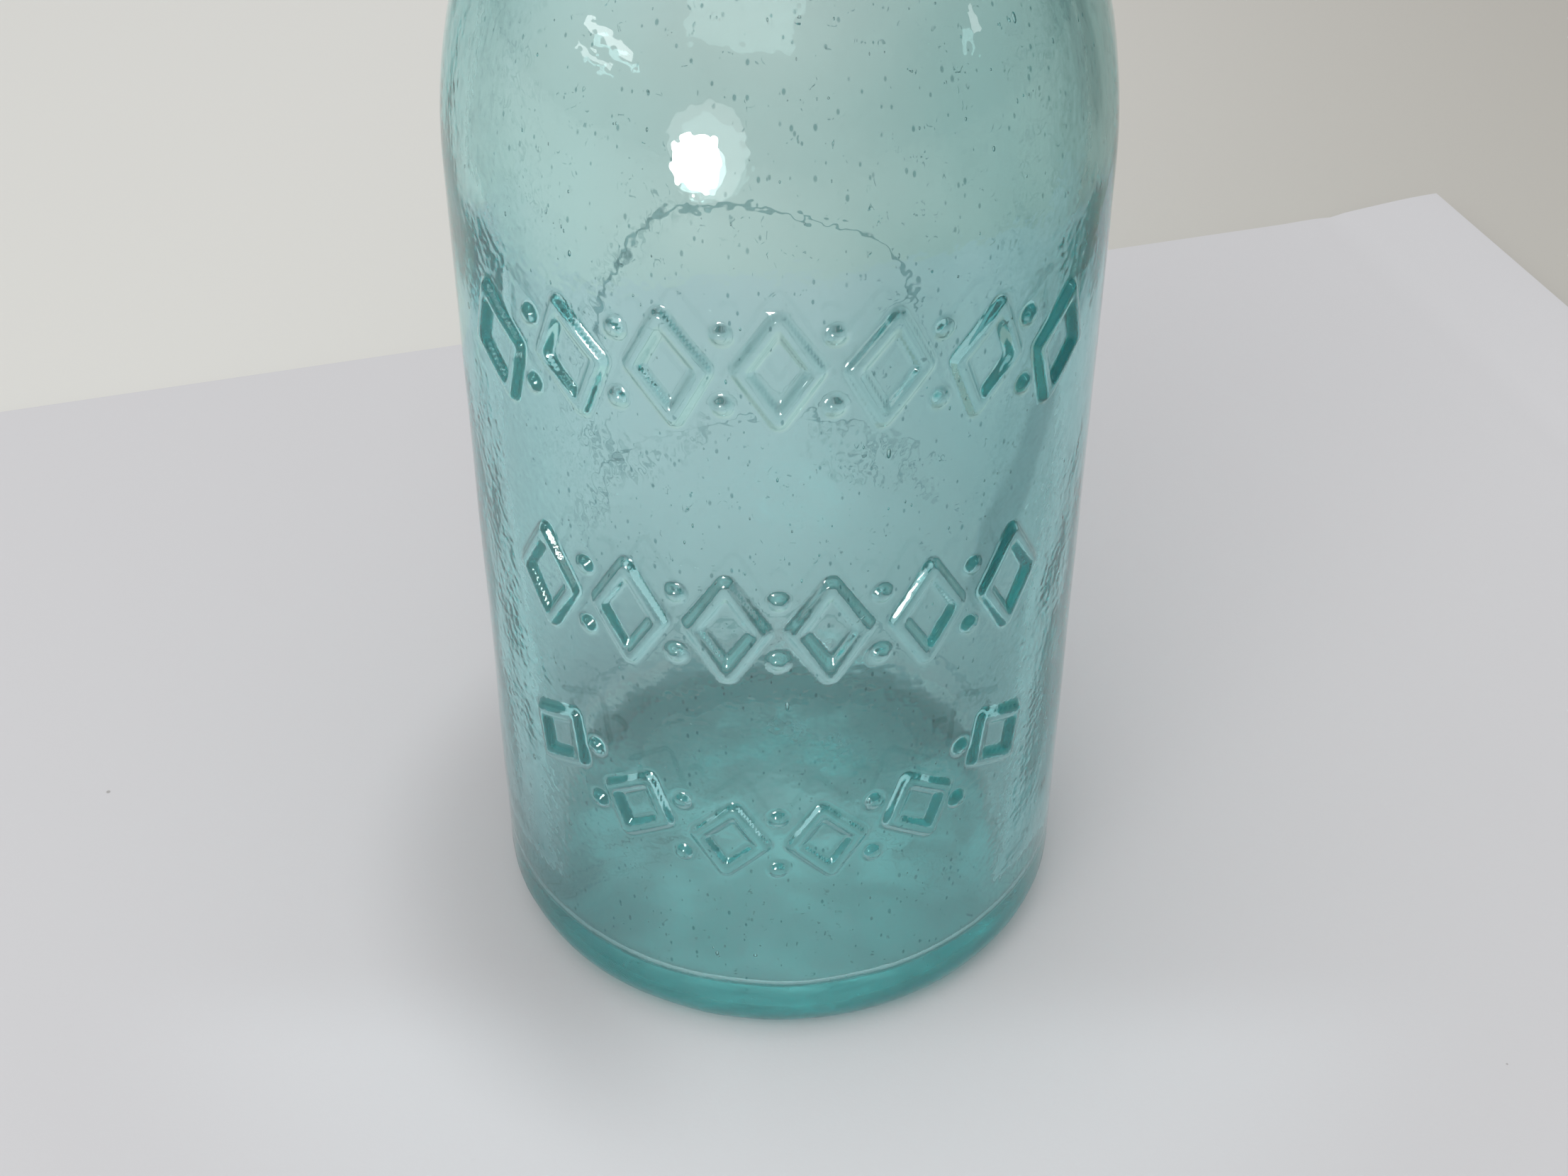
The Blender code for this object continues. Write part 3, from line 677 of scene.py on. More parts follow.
def new_group(name, **numbers):
    """A node group that takes a vector and some numbers with their defaults, and its inputs' signals."""
    tree = bpy.data.node_groups.new(name, "ShaderNodeTree")
    tree.interface.new_socket("Vector", in_out="INPUT", socket_type="NodeSocketVector")
    for label, default in numbers.items():
        socket = tree.interface.new_socket(
            label.replace("_", " "), in_out="INPUT", socket_type="NodeSocketFloat"
        )
        socket.default_value = default
    nodes = Nodes(tree)
    given = nodes.add("NodeGroupInput").outputs
    return nodes, *[Signal(nodes, given[i]) for i in range(len(numbers) + 1)]


def new_material(name):
    material = bpy.data.materials.new(name)
    material.use_nodes = True
    nodes = Nodes(material.node_tree)
    return material, nodes, nodes.signal("ShaderNodeTexCoord", output="Object")


def scattered_specks():
    """Small spots scattered over a surface: specks of dust in glass, pits in metal, dust on paper."""
    nodes, vector, scale, size, share = new_group("scattered_specks", Scale=400.0, Size=0.2, Share=0.1)
    cells = nodes.signals("ShaderNodeTexVoronoi", {"Vector": vector, "Scale": scale})
    draw = nodes.signals("ShaderNodeSeparateColor", {"Color": cells["Color"]})
    size = size * (draw["Green"] + 0.35)
    spot = cells["Distance"].ramp(size, size * 0.45)
    return nodes.finish_group(Mask=spot * nodes.maths("LESS_THAN", draw["Red"], share))


def tide_mark():
    """A dried tide mark: a wandering line round an uneven loop, with scum on its left and lower sides."""
    nodes, vector, middle_x, middle_z = new_group("tide_mark", Middle_X=-0.0032, Middle_Z=0.0540)
    x, y, z = nodes.split(vector)
    across, up = x - middle_x, z - middle_z
    turn = nodes.maths("FRACT", nodes.maths("ARCTAN2", up, across) / math.tau + 1.0)
    loop = nodes.add("ShaderNodeFloatCurve", {"Value": turn})
    curve = loop.mapping.curves[0]
    curve.points[0].location = (0.0, TIDE_LOOP[0][1] / TIDE_SPAN)
    curve.points[1].location = (1.0, TIDE_LOOP[-1][1] / TIDE_SPAN)
    for part, reach in TIDE_LOOP[1:-1]:
        curve.points.new(part, reach / TIDE_SPAN)
    loop.mapping.update()
    reach = nodes.distance(across, up) / (Signal(nodes, loop.outputs[0]) * TIDE_SPAN)
    reach = reach + (nodes.sway(vector, 620.0, 1.0, 0.036) + nodes.sway(vector, 130.0, 0.0, 0.05))
    off = abs(reach - 1.0)
    line = (off / across.ramp(0.004, -0.012, 1.0, 1.7)).ramp(0.020, 0.008) * up.ramp(-0.004, 0.003)
    level = abs(up + LEVEL_DROP + nodes.sway(vector, 230.0, 2.0, 0.0014)).ramp(0.00034, 0.00012)
    broken = nodes.noise(vector, 150.0, 1.0).ramp(0.38, 0.50, 0.25, 0.85)
    line = nodes.most(line, level * abs(across).ramp(0.0200, 0.0175) * broken)
    rough = nodes.noise(nodes.stretched(vector, (1.0, 1.0, 0.30)), 1100.0, 3.0, 0.7).ramp(0.48, 0.60)
    edge_scum = off.ramp(0.17, 0.02) * across.ramp(-0.004, -0.012)
    low_scum = abs(up + SCUM_DROP).ramp(0.0052, 0.0018) * abs(across).ramp(0.024, 0.019)
    scum = rough * nodes.most(edge_scum, low_scum * nodes.noise(vector, 95.0, 1.0).ramp(0.40, 0.54))
    film = reach.ramp(1.03, 0.93) * nodes.noise(vector, 60.0).ramp(0.3, 0.7, 0.5)
    back = nodes.inside(x, y) * nodes.maths("GREATER_THAN", y, 0.008)
    return nodes.finish_group(Line=line * back, Film=film * back, Scum=scum * back)


def flank_marks_and_shade():
    """Marks down the flanks: thin drawn-out streaks; painted shade as a broad dark band down the right
    flank and a thinner one higher up, for darker surroundings seen through the thick glass there; painted
    shade over the right-hand side; and a darker tone low towards both edges.
    """
    nodes, vector, streak_scale, broad_turn, broad_lean = new_group(
        "flank_marks_and_shade", Streak_Scale=1400.0, Broad_Turn=math.radians(45), Broad_Lean=15.3
    )
    x, y, z = nodes.split(vector)
    turn = nodes.maths("ARCTAN2", x, y * -1.0)
    drawn = nodes.signal("ShaderNodeCombineXYZ", {0: turn * 0.031, 2: z * 0.26})
    flank = abs(turn).ramp(*np.radians((48, 68))) * abs(turn).ramp(*np.radians((130, 112)))
    streaks = nodes.noise(drawn, streak_scale, 2.0, 0.6).ramp(0.56, 0.66) * flank
    # Painted shade: a broad dark band down the right flank and a thinner band near the top.
    middle = nodes.maths("MINIMUM", broad_turn + (z - 0.066) * broad_lean, math.radians(64))
    sway = nodes.sway(nodes.stretched(vector, (1.0, 1.0, 0.5)), 150.0, 3.0, 0.20)
    beside = abs(turn - middle + sway)
    broad = beside.ramp(*np.radians((6.5, 3))) * z.ramp(0.052, 0.060) * z.ramp(0.096, 0.088)
    narrow_shade = beside.ramp(*np.radians((4, 1.5))) * z.ramp(0.096, 0.101) * z.ramp(0.118, 0.112)
    outer = nodes.most(1.0 - nodes.inside(x, y), z.ramp(0.092, 0.094))
    # Painted shade over the right-hand side of the glass, patchy, fading out high and low.
    side = x.ramp(-0.003, 0.022) * nodes.noise(vector, 75.0).ramp(0.3, 0.7, 0.6)
    side = side * z.ramp(0.022, 0.046, 0.3) * z.ramp(0.106, 0.088, 0.3)
    # Darker tone low towards both edges, stronger on the left.
    foot = z.ramp(0.040, 0.008) * abs(x).ramp(0.010, 0.024) * x.ramp(0.005, -0.005, 0.35)
    return nodes.finish_group(
        Streaks=streaks, Broad=nodes.most(broad, narrow_shade) * outer, Side_Film=side,
        Foot_Film=foot * z.ramp(0.005, 0.010),
    )


def back_corner_shade():
    """Painted shade round the inside floor, at the back, in two wavering lines, for the dark arcs that the
    thick back corner shows.
    """
    nodes, vector, ring = new_group("back_corner_shade", Ring=0.0252)
    x, y, z = nodes.split(vector)
    sway = nodes.sway(vector, 190.0, 3.0, 0.0032, 0.6)
    band = abs(nodes.distance(x, y) - ring + sway).ramp(0.0024, 0.0009)
    band = band * z.ramp(0.0105, 0.0085) * z.ramp(0.0035, 0.0045)
    line = abs(z + sway - 0.0120).ramp(0.0009, 0.0003) * (nodes.inside(x, y) * 0.6)
    return nodes.finish_group(Mask=nodes.most(band, line) * y.ramp(0.002, 0.010))


def glass_skin():
    """The skin of old glass: faint waves and fine pitting, as one height."""
    nodes, vector, wave_scale, pit_scale = new_group("glass_skin", Wave_Scale=260.0, Pit_Scale=1300.0)
    broad = nodes.noise(nodes.stretched(vector, (1.0, 1.0, 0.55)), wave_scale, 0.0, 0.4)
    return nodes.finish_group(Height=broad + nodes.noise(vector, pit_scale, 0.0, 0.6) * 0.24)


def patchy_wear():
    """Patchy ageing of metal and rubber: a broad mask, a fine mask, and a height for the surface."""
    nodes, vector, patch_scale, grain_scale, amount = new_group(
        "patchy_wear", Patch_Scale=300.0, Grain_Scale=2200.0, Amount=0.5
    )
    grain = nodes.noise(vector, grain_scale, 3.0, 0.6)
    edge = 0.82 - amount * 0.62
    patches = nodes.noise(vector, patch_scale, 5.0, 0.62).ramp(edge - 0.09, edge + 0.09)
    return nodes.finish_group(Patches=patches, Grain=grain, Height=patches * 0.6 + grain * 0.4)


def glass_material(finish):
    """Aqua glass: clear at the surface, tinted through its depth, with dust and a dried mark with its film;
    with painted shade over its right-hand side, down its right flank and in the corner round the inside
    floor at the back; and darker low towards the edges and over the heel.
    """
    material, nodes, where = new_material("seeded_aqua_glass")
    mark = nodes.group(tide_mark, where)
    flank = nodes.group(flank_marks_and_shade, where)
    shaded = nodes.group(back_corner_shade, where)
    drawn = nodes.stretched(where, (1.0, 1.0, 0.5))
    specks = nodes.group(scattered_specks, drawn, Scale=1150.0, Size=0.19, Share=0.42)
    x, y, z = nodes.split(where)
    dusty = z.ramp(0.072, 0.112) * nodes.noise(where, 160.0).ramp(0.2, 0.8, 0.75)
    dusty = dusty * abs(x).ramp(0.018, 0.005, 0.2)
    edge_on = nodes.signal("ShaderNodeLayerWeight", {"Blend": 0.5}, "Facing").ramp(0.28, 0.92)
    heel = z.ramp(0.0085, 0.0045) * nodes.distance(x, y).ramp(0.0275, 0.0288)
    bright_band = abs(z - 0.0034).ramp(0.0020, 0.0008, 1.0, 0.3)
    tint = nodes.mix(mark["Film"], (1.0, 1.0, 1.0), finish.haze)
    for mask, strength, tone in (
        (mark["Scum"], 0.75, finish.stain),
        (mark["Line"], 0.95, finish.stain),
        # painted shade round the inside floor at the back
        (shaded["Mask"], 0.85, finish.dregs),
        (specks["Mask"], 0.80, finish.stain),
        (flank["Streaks"], 0.48, finish.stain),
        # painted shade in dark bands down the right flank
        (flank["Broad"], 0.60, finish.stain),
        # painted shade over the right-hand side
        (flank["Side Film"], 1.0, finish.side_film),
        # darker tone low towards both edges
        (flank["Foot Film"], 1.0, finish.foot_film),
        (dusty, 1.0, finish.dust),
        (edge_on, 0.8, finish.deep_edge),
        # darker tone over the heel, weaker along a band
        (heel * bright_band, 1.0, finish.heel_film),
    ):
        tint = nodes.mix(mask * strength, tint, tone, "MULTIPLY")
    dull = nodes.most(mark["Scum"], mark["Film"]) * 0.10
    scuffs = nodes.noise(nodes.stretched(where, (1.0, 1.0, 2.5)), 420.0).ramp(0.3, 0.7, 0.10, 0.26)
    scuffed = nodes.most(heel, z.ramp(0.0046, 0.0038)) * scuffs
    depth = nodes.signal("ShaderNodeLightPath", output="Ray Depth")
    nodes.shade(
        Base_Color=tint, Roughness=nodes.most(dull, scuffed) + 0.012, IOR=1.51, Metallic=0.0,
        Specular_IOR_Level=0.36, Transmission_Weight=0.97,
        Normal=nodes.bump(nodes.group(glass_skin, where)["Height"], 0.00005),
        Alpha=nodes.maths("LESS_THAN", depth, finish.trapped_depth),
    )
    tinted = {"Color": finish.glass_absorbs, "Density": finish.glass_density}
    volume = nodes.signal("ShaderNodeVolumeAbsorption", tinted)
    nodes.fill(nodes.tree.nodes["Material Output"].inputs["Volume"], volume)
    return material


def metal_material(name, bright, rust, amount, patch_scale):
    """Old metal: a worn face, brown rust in patches and pits."""
    material, nodes, where = new_material(name)
    wear = nodes.group(patchy_wear, where, Patch_Scale=patch_scale, Amount=amount)
    pits = nodes.group(scattered_specks, where, Scale=1300.0, Size=0.45, Share=0.35)["Mask"]
    rusty = nodes.most(wear["Patches"], pits * 0.8)
    face = nodes.mix(wear["Grain"], [value * 0.55 for value in bright], bright)
    crust = nodes.mix(wear["Grain"], rust, [value * 1.9 for value in rust])
    nodes.shade(
        Base_Color=nodes.mix(rusty, face, crust),
        Roughness=rusty * 0.42 + wear["Grain"].ramp(0.3, 0.7, 0.30, 0.46),
        Metallic=1.0 - rusty * 0.85,
        Normal=nodes.bump(wear["Height"] - pits * 0.5, 0.00006),
    )
    return material


def rubber_material(finish):
    """Perished rubber: black, bloomed grey-brown in patches, with fine cracks."""
    material, nodes, where = new_material("perished_rubber")
    wear = nodes.group(patchy_wear, where, Patch_Scale=220.0, Amount=0.55)
    cells = {"Vector": nodes.stretched(where, (1.0, 1.0, 0.4)), "Scale": 900.0}
    edges = nodes.signal("ShaderNodeTexVoronoi", cells, "Distance", feature="DISTANCE_TO_EDGE")
    crack = edges.ramp(0.10, 0.02)
    base = nodes.mix(wear["Patches"] * 0.8, finish.rubber, finish.bloom)
    nodes.shade(
        Base_Color=nodes.mix(crack, base, [value * 0.4 for value in finish.rubber]),
        Roughness=wear["Grain"].ramp(0.3, 0.7, 0.62, 0.82),
        Normal=nodes.bump(wear["Height"] - crack * 0.9, 0.00008),
    )
    return material


def matte_shade(nodes, where, base, roughness):
    """A matt face with a fine tooth."""
    tooth = nodes.bump(nodes.noise(where, 2500.0, 2.0), 0.00002, 0.5)
    nodes.shade(Base_Color=base, Roughness=roughness, Specular_IOR_Level=0.25, Normal=tooth)


def table_material(stage):
    """A painted table with painted shade: its tone darkens from left to right, the right lying in shade."""
    material, nodes, where = new_material("table_with_painted_shade")
    x, y, z = nodes.split(where)
    matte_shade(nodes, where, nodes.mix(x.ramp(-0.10, 0.22), stage.table, stage.table_right), 0.8)
    return material


def paper_material(stage):
    """The sheet: paper with a few specks of dust, coloured where the glass gathers light or shades it, with
    painted light just in front of the bottle and painted shade close to its left.
    """
    material, nodes, where = new_material("paper")
    x, back, z = nodes.split(where)
    away = nodes.distance(x, back)
    under = away.ramp(0.0300, 0.0265)
    cloudy = nodes.noise(nodes.stretched(where, (1.0, 0.6, 1.0)), 95.0, 3.0, 0.6).ramp(0.38, 0.60, 0.45)
    uneven = away + nodes.sway(where, 85.0, 3.0, 0.010, 0.6)
    outer_arc = abs(uneven - 0.0240).ramp(0.0036, 0.0016)
    inner_arc = abs(uneven - 0.0185).ramp(0.0020, 0.0006, 0.0, 0.55)
    arcs = nodes.most(outer_arc, inner_arc) * back.ramp(0.0, 0.010)
    wide = back.ramp(0.005, 0.017, 0.0, 0.52) * under * x.ramp(-0.012, 0.002, 0.6)
    dust = nodes.group(scattered_specks, where, Scale=260.0, Size=0.07, Share=0.035)["Mask"]
    base = stage.paper
    for mask, tone in (
        (under * cloudy, stage.paper_lit),
        (nodes.most(arcs, wide), stage.paper_dim),
        (dust * 0.5, (0.16, 0.14, 0.12)),
        # painted light just in front of the bottle
        (away.ramp(0.085, 0.050) * back.ramp(-0.018, -0.034), stage.paper_front),
        # painted shade on the sheet close to the bottle's left
        (away.ramp(0.052, 0.034, 0.0, 0.20) * x.ramp(-0.004, -0.024), BLACK),
    ):
        base = nodes.mix(mask, base, tone)
    matte_shade(nodes, where, base, 0.9)
    milky = nodes.noise(nodes.stretched(where, (1.0, 1.6, 1.0)), 110.0, 2.0).ramp(0.40, 0.62, 0.30)
    gathered = milky * away.ramp(0.0290, 0.0255) * back.ramp(0.017, 0.004) * back.ramp(-0.015, -0.003, 0.35)
    nodes.shade(Emission_Color=nodes.mix(gathered, BLACK, stage.paper_glow), Emission_Strength=1.0)
    return material


# Pieces

def settings():
    return [getattr(bpy.context.scene, name) for name in GROUPS]


class AddBottleGlass(bpy.types.Operator):
    """Adds the blown glass with its ornament, bubbles and blob lip"""

    bl_idname = "soda_bottle.add_glass"
    bl_label = "Bottle glass"

    def execute(self, context):
        sizes, ornament, _, finish, _ = settings()
        mesh = glass_mesh(sizes, ornament)
        piece = add_piece("bottle_glass", mesh, glass_material(finish), "bottle")
        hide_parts("glass_body", "blob_lip")
        return {"FINISHED"}


def wire_path(sizes):
    """The wire's right half in the plane y = 0, as (x, z) from the leg's foot to the loop's top."""
    leg, waist = sizes.leg_spacing / 2, sizes.waist_width / 2
    foot = LOWER_LOW[2] - SEAT_GAP - sizes.rivet_height / 2
    bend = UPPER_HIGH[2] + sizes.leg_straight
    widest = bend + sizes.spread_height
    centre = WIRE_HIGH[2] - sizes.eye_radius - sizes.wire_radius
    waist_height = centre - sizes.eye_to_waist
    points = [(leg, foot), *between((leg, foot), (leg, bend), 8), (leg, bend)]
    for to_x, to_z, steps in ((sizes.spread, widest, 14), (waist, waist_height, 18)):
        x, z = points[-1]
        for i in range(1, steps + 1):
            part = i / steps
            points.append((x + (to_x - x) * float(ease(part, 0.0, 1.0)), z + (to_z - z) * part))
    join = math.radians(62)
    eye = arc((0.0, centre), sizes.eye_radius, join - math.pi / 2, math.pi / 2, 22)
    start, end = Vector(points[-1]), Vector(eye[0])
    reach = (end - start).length
    start_way, end_way = Vector((0, reach)), Vector((math.cos(join), math.sin(join))) * reach
    for i in range(1, 10):
        s = i / 10
        points.append(tuple(
            start * (2 * s ** 3 - 3 * s ** 2 + 1) + start_way * (s ** 3 - 2 * s ** 2 + s)
            + end * (3 * s ** 2 - 2 * s ** 3) + end_way * (s ** 3 - s ** 2)
        ))
    return points + eye


def wire_mesh(sizes):
    """A swept round wire, a little uneven where it was drawn and bent, with a peened head on each foot."""
    half = wire_path(sizes)
    path = np.array(half + [(-x, z) for x, z in reversed(half[:-1])])
    way = np.gradient(path, axis=0)
    way /= np.linalg.norm(way, axis=1)[:, None]
    count, sides = len(path), 20
    angles = np.arange(sides) * math.tau / sides
    circle = np.tile(np.column_stack((np.cos(angles), np.sin(angles), angles * 0)), (count, 1))
    middles = np.repeat(np.column_stack((path[:, 0], np.zeros(count), path[:, 1])), sides, axis=0)
    uneven = 0.012 * (1 + waves(middles + 0.002 * circle, 21, 12, 0.004, 0.012))
    across, outward = (circle[:, :2] * sizes.wire_radius * (1 - uneven)[:, None]).T
    ways = np.repeat(way, sides, axis=0)
    places = middles + np.column_stack((ways[:, 1] * across, outward, -ways[:, 0] * across))
    faces = grid_faces(count - 1, sides, sides)
    faces += [tuple(reversed(range(sides))), tuple(range((count - 1) * sides, count * sides))]
    mesh = bpy.data.meshes.new("stopper_wire")
    mesh.from_pydata(places.tolist(), [], faces)
    shape = bmesh.new()
    shape.from_mesh(mesh)
    bmesh.ops.recalc_face_normals(shape, faces=shape.faces)
    top, head = LOWER_LOW[2] - SEAT_GAP, sizes.rivet_radius
    profile = [
        (0.0, top), (head * 0.97, top), (head, top - 0.0003), (head * 0.88, top - 0.0008),
        (head * 0.55, top - 0.00112), (0.0, top - sizes.rivet_height),
    ]
    for side in (-1, 1):
        add_turned(shape, profile, 24, Vector((side * sizes.leg_spacing / 2, 0, 0)))
    return turn_into(shape, mesh)


def grid_faces(rows, columns, width):
    """Faces of a grid whose rows have a width in places. As many columns as that close it to a tube."""
    return [
        (i * width + j, i * width + (j + 1) % width, (i + 1) * width + (j + 1) % width, (i + 1) * width + j)
        for i in range(rows) for j in range(columns)
    ]


def turn_into(shape, mesh):
    """Writes a shape to a mesh and lets go of the shape."""
    shape.to_mesh(mesh)
    shape.free()
    return mesh


def add_turned(shape, profile, steps, centre=Vector((0, 0, 0)), dent=0.0, seed=0):
    """A closed turned shape of (radius, height) points that run from the axis to the axis, top first."""
    phases = np.random.RandomState(seed).rand(4) * math.tau
    rings = []
    for radius, height in profile:
        ring = []
        for turn in [0.0] if radius == 0.0 else np.arange(steps) * math.tau / steps:
            wave = math.sin(2 * turn + phases[0]) + 0.6 * math.sin(5 * turn + phases[1] + radius * 900)
            lift = dent * 0.6 * math.sin(3 * turn + phases[2]) * radius / GASKET_HIGH[0]
            wide = (radius + min(dent * wave, 0.0) - dent) * (radius > 0.0)
            place = Vector((wide * math.cos(turn), wide * math.sin(turn), height + lift))
            ring.append(shape.verts.new(centre + place))
        rings.append(ring)
    for above, below in zip(rings, rings[1:]):
        for j in range(steps):
            k = (j + 1) % steps
            if len(above) == 1:
                shape.faces.new((above[0], below[j], below[k]))
            elif len(below) == 1:
                shape.faces.new((above[k], above[j], below[0]))
            else:
                shape.faces.new((above[j], below[j], below[k], above[k]))


class AddSpringWire(bpy.types.Operator):
    """Adds the looped spring wire that carries the stopper"""

    bl_idname = "soda_bottle.add_wire"
    bl_label = "Spring wire"

    def execute(self, context):
        _, _, sizes, finish, _ = settings()
        metal = metal_material("worn_spring_steel", finish.steel, finish.rust, 0.46, 420.0)
        piece = add_piece("stopper_wire", wire_mesh(sizes), metal, "stopper")
        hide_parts("spring_wire")
        return {"FINISHED"}


def plate_mesh(name, low, high, crown_up, seed):
    """A pressed plate: a crown, a shallow step, and a rolled edge, a little out of true."""
    radius, edge = high[0], 0.0008
    flat, dome, sign = (low[2], high[2], 1) if crown_up else (high[2], low[2], -1)
    rim = flat + sign * edge

    def crown(part):
        return rim + (dome - rim) * (1 - (part / 0.66) ** 2)

    profile = [(0.0, dome - sign * 0.00006)]
    profile += [(radius * part, crown(part)) for part in (0.12, 0.24, 0.36, 0.46, 0.54)]
    for part, step in ((0.62, 0.00008), (0.68, -0.00006), (0.76, -0.00006), (0.83, 0.0)):
        profile.append((radius * part, rim + sign * step))
    curl = edge * 0.48
    for turn in (0.0, 0.5, 1.0, 1.57, 2.14, 2.64, 3.14):
        height = flat + sign * edge / 2 * (1 + math.cos(turn))
        profile.append((radius - curl + curl * math.sin(turn), height))
    profile += [(radius * 0.6, flat), (radius * 0.3, flat), (0.0, flat)]
    if not crown_up:
        profile.reverse()
    shape = bmesh.new()
    add_turned(shape, profile, 96, dent=0.00005, seed=seed)
    foot = crown(0.342)
    solder = [
        (0.0, foot + 0.00022), (0.00135, foot + 0.00022), (0.0016, foot + 0.00012),
        (0.00215, foot - 0.0002), (0.0, foot - 0.0003),
    ]
    for side in (-1, 1) if crown_up else ():
        add_turned(shape, solder, 24, Vector((side * 0.0026, 0, 0)), dent=0.00006, seed=seed + 5)
    return turn_into(shape, bpy.data.meshes.new(name))


class AddStopperPlates(bpy.types.Operator):
    """Adds the two pressed plates that clamp the gasket"""

    bl_idname = "soda_bottle.add_plates"
    bl_label = "Stopper plates"

    def execute(self, context):
        finish = settings()[3]
        metal = metal_material("worn_tinplate", finish.tin, finish.rust, 0.40, 330.0)
        for name, node, low, high, crown_up, seed in (
            ("plate_above", "upper_plate", UPPER_LOW, UPPER_HIGH, True, 31),
            ("plate_below", "lower_plate", LOWER_LOW, LOWER_HIGH, False, 37),
        ):
            mesh = plate_mesh(name, low, high, crown_up, seed)
            piece = add_piece(name, mesh, metal, "stopper")
            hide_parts(node)
        return {"FINISHED"}


def gasket_mesh():
    """A moulded rubber disc: rounded edges, a faint seam round its middle, squeezed by the plates."""
    low, high = GASKET_LOW[2], GASKET_HIGH[2]
    radius, grip, corner, dish = GASKET_HIGH[0], UPPER_HIGH[0], 0.0012, 0.00012
    middle = (high + low) / 2
    half = [(grip * part, high - dish) for part in (0.0, 0.3, 0.6, 0.9, 1.0)]
    half += [(grip + 0.0004, high - dish * 0.4), (radius - corner - 0.0004, high)]
    half += arc((radius - corner, high - corner), corner, math.pi / 2, 0, 7)
    for inset, over in ((0.00006, 0.0012), (0.00010, 0.0004), (0.00005, 0.00015), (0.0, 0.0)):
        half.append((radius - inset, middle + over))
    shape = bmesh.new()
    profile = half + [(r, 2 * middle - z) for r, z in reversed(half[:-1])]
    add_turned(shape, profile, 128, dent=0.00003, seed=41)
    return turn_into(shape, bpy.data.meshes.new("stopper_gasket"))


class AddGasket(bpy.types.Operator):
    """Adds the thick rubber gasket"""

    bl_idname = "soda_bottle.add_gasket"
    bl_label = "Rubber gasket"

    def execute(self, context):
        finish = settings()[3]
        rubber = rubber_material(finish)
        piece = add_piece("stopper_gasket", gasket_mesh(), rubber, "stopper")
        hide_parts("rubber_gasket")
        return {"FINISHED"}


# Stage

SHEET_CORNER = Vector((0.1130, 0.1560, 0.0))
SHEET_TURN = math.radians(16.2)
SHEET_LONG, SHEET_WIDE = 0.420, 0.297
SHEET_DROP, TABLE_DROP = 0.0003, 0.0012  # how far below the bottle's foot they lie

ROOM_STRENGTH = 1.04


def sheet_mesh():
    """A sheet of paper whose far edge runs behind the bottle, lifted a little along its right edge."""
    along = Vector((-math.cos(SHEET_TURN), -math.sin(SHEET_TURN), 0))
    down = Vector((math.sin(SHEET_TURN + 0.03), -math.cos(SHEET_TURN + 0.03), 0))
    columns, rows = 84, 60
    verts = []
    for i in range(rows + 1):
        for j in range(columns + 1):
            x = SHEET_LONG * (j / columns) ** 1.5
            crease = 0.00025 * math.exp(-(abs(x - 0.020) / 0.0018) ** 2)
            lift = 0.0016 * float(ease(x, 0.026, 0.0)) - crease
            spot = SHEET_CORNER + along * x + down * (SHEET_WIDE * i / rows)
            verts.append((spot.x, spot.y, -SHEET_DROP + (lift if lift >= 0 else -0.0001)))
    mesh = bpy.data.meshes.new("paper_sheet")
    mesh.from_pydata(verts, [], grid_faces(rows, columns, columns + 1))
    mesh.flip_normals()
    mesh.shade_smooth()
    return mesh


def table_mesh():
    shape = bmesh.new()
    bmesh.ops.create_grid(shape, x_segments=8, y_segments=8, size=2.0)
    bmesh.ops.translate(shape, verts=shape.verts, vec=(0, 0, -TABLE_DROP))
    return turn_into(shape, bpy.data.meshes.new("table"))


def add_lamp(name, shape, size, power, place, aim, tone, shines):
    """A soft lamp. One that shines shows in the gloss and lights nothing, the others the other way."""
    light = bpy.data.lights.new(name, "AREA")
    light.shape = shape
    light.size, light.size_y = size
    light.energy = power
    light.color = tone
    lamp = bpy.data.objects.new(name, light)
    lamp.location = place
    lamp.rotation_euler = (Vector(aim) - Vector(place)).to_track_quat("-Z", "Y").to_euler()
    lamp.visible_camera = False
    lamp.visible_diffuse = not shines
    lamp.visible_glossy = shines
    bpy.context.scene.collection.objects.link(lamp)


def gloss_lamps(stage):
    """Lamps that only show in the gloss: size, power, azimuth, elevation, distance, aim and colour."""
    power, daylight, white = stage.window_power, (1.0, 0.99, 0.96), (1.0, 1.0, 1.0)
    shoulder, left, right = (-0.0063, -0.029, 0.102), (-0.016, -0.024, 0.109), (0.017, -0.023, 0.110)
    return (
        ("window", "ELLIPSE", (0.145, 0.105), power, -25.5, -2.4, 0.5, shoulder, daylight),
        ("window_glow", "ELLIPSE", (0.24, 0.19), 0.26, -22.0, 0.5, 0.51, shoulder, (1.0, 0.99, 0.97)),
        ("left_strip", "RECTANGLE", (0.22, 0.024), 0.110, -62.0, 16.2, 0.6, left, white),
        ("left_strip_low", "RECTANGLE", (0.15, 0.016), 0.040, -66.6, 10.2, 0.6, left, white),
        ("right_strip", "RECTANGLE", (0.040, 0.075), 0.040, 74.5, 15.5, 0.6, right, white),
    )


def lamp_place(azimuth, elevation, distance, centre):
    """A point seen from the centre at an azimuth from the front and an elevation, in degrees."""
    turn, rise = math.radians(azimuth), math.radians(elevation)
    way = Vector((math.sin(turn) * math.cos(rise), -math.cos(turn) * math.cos(rise), math.sin(rise)))
    return Vector(centre) + way * distance


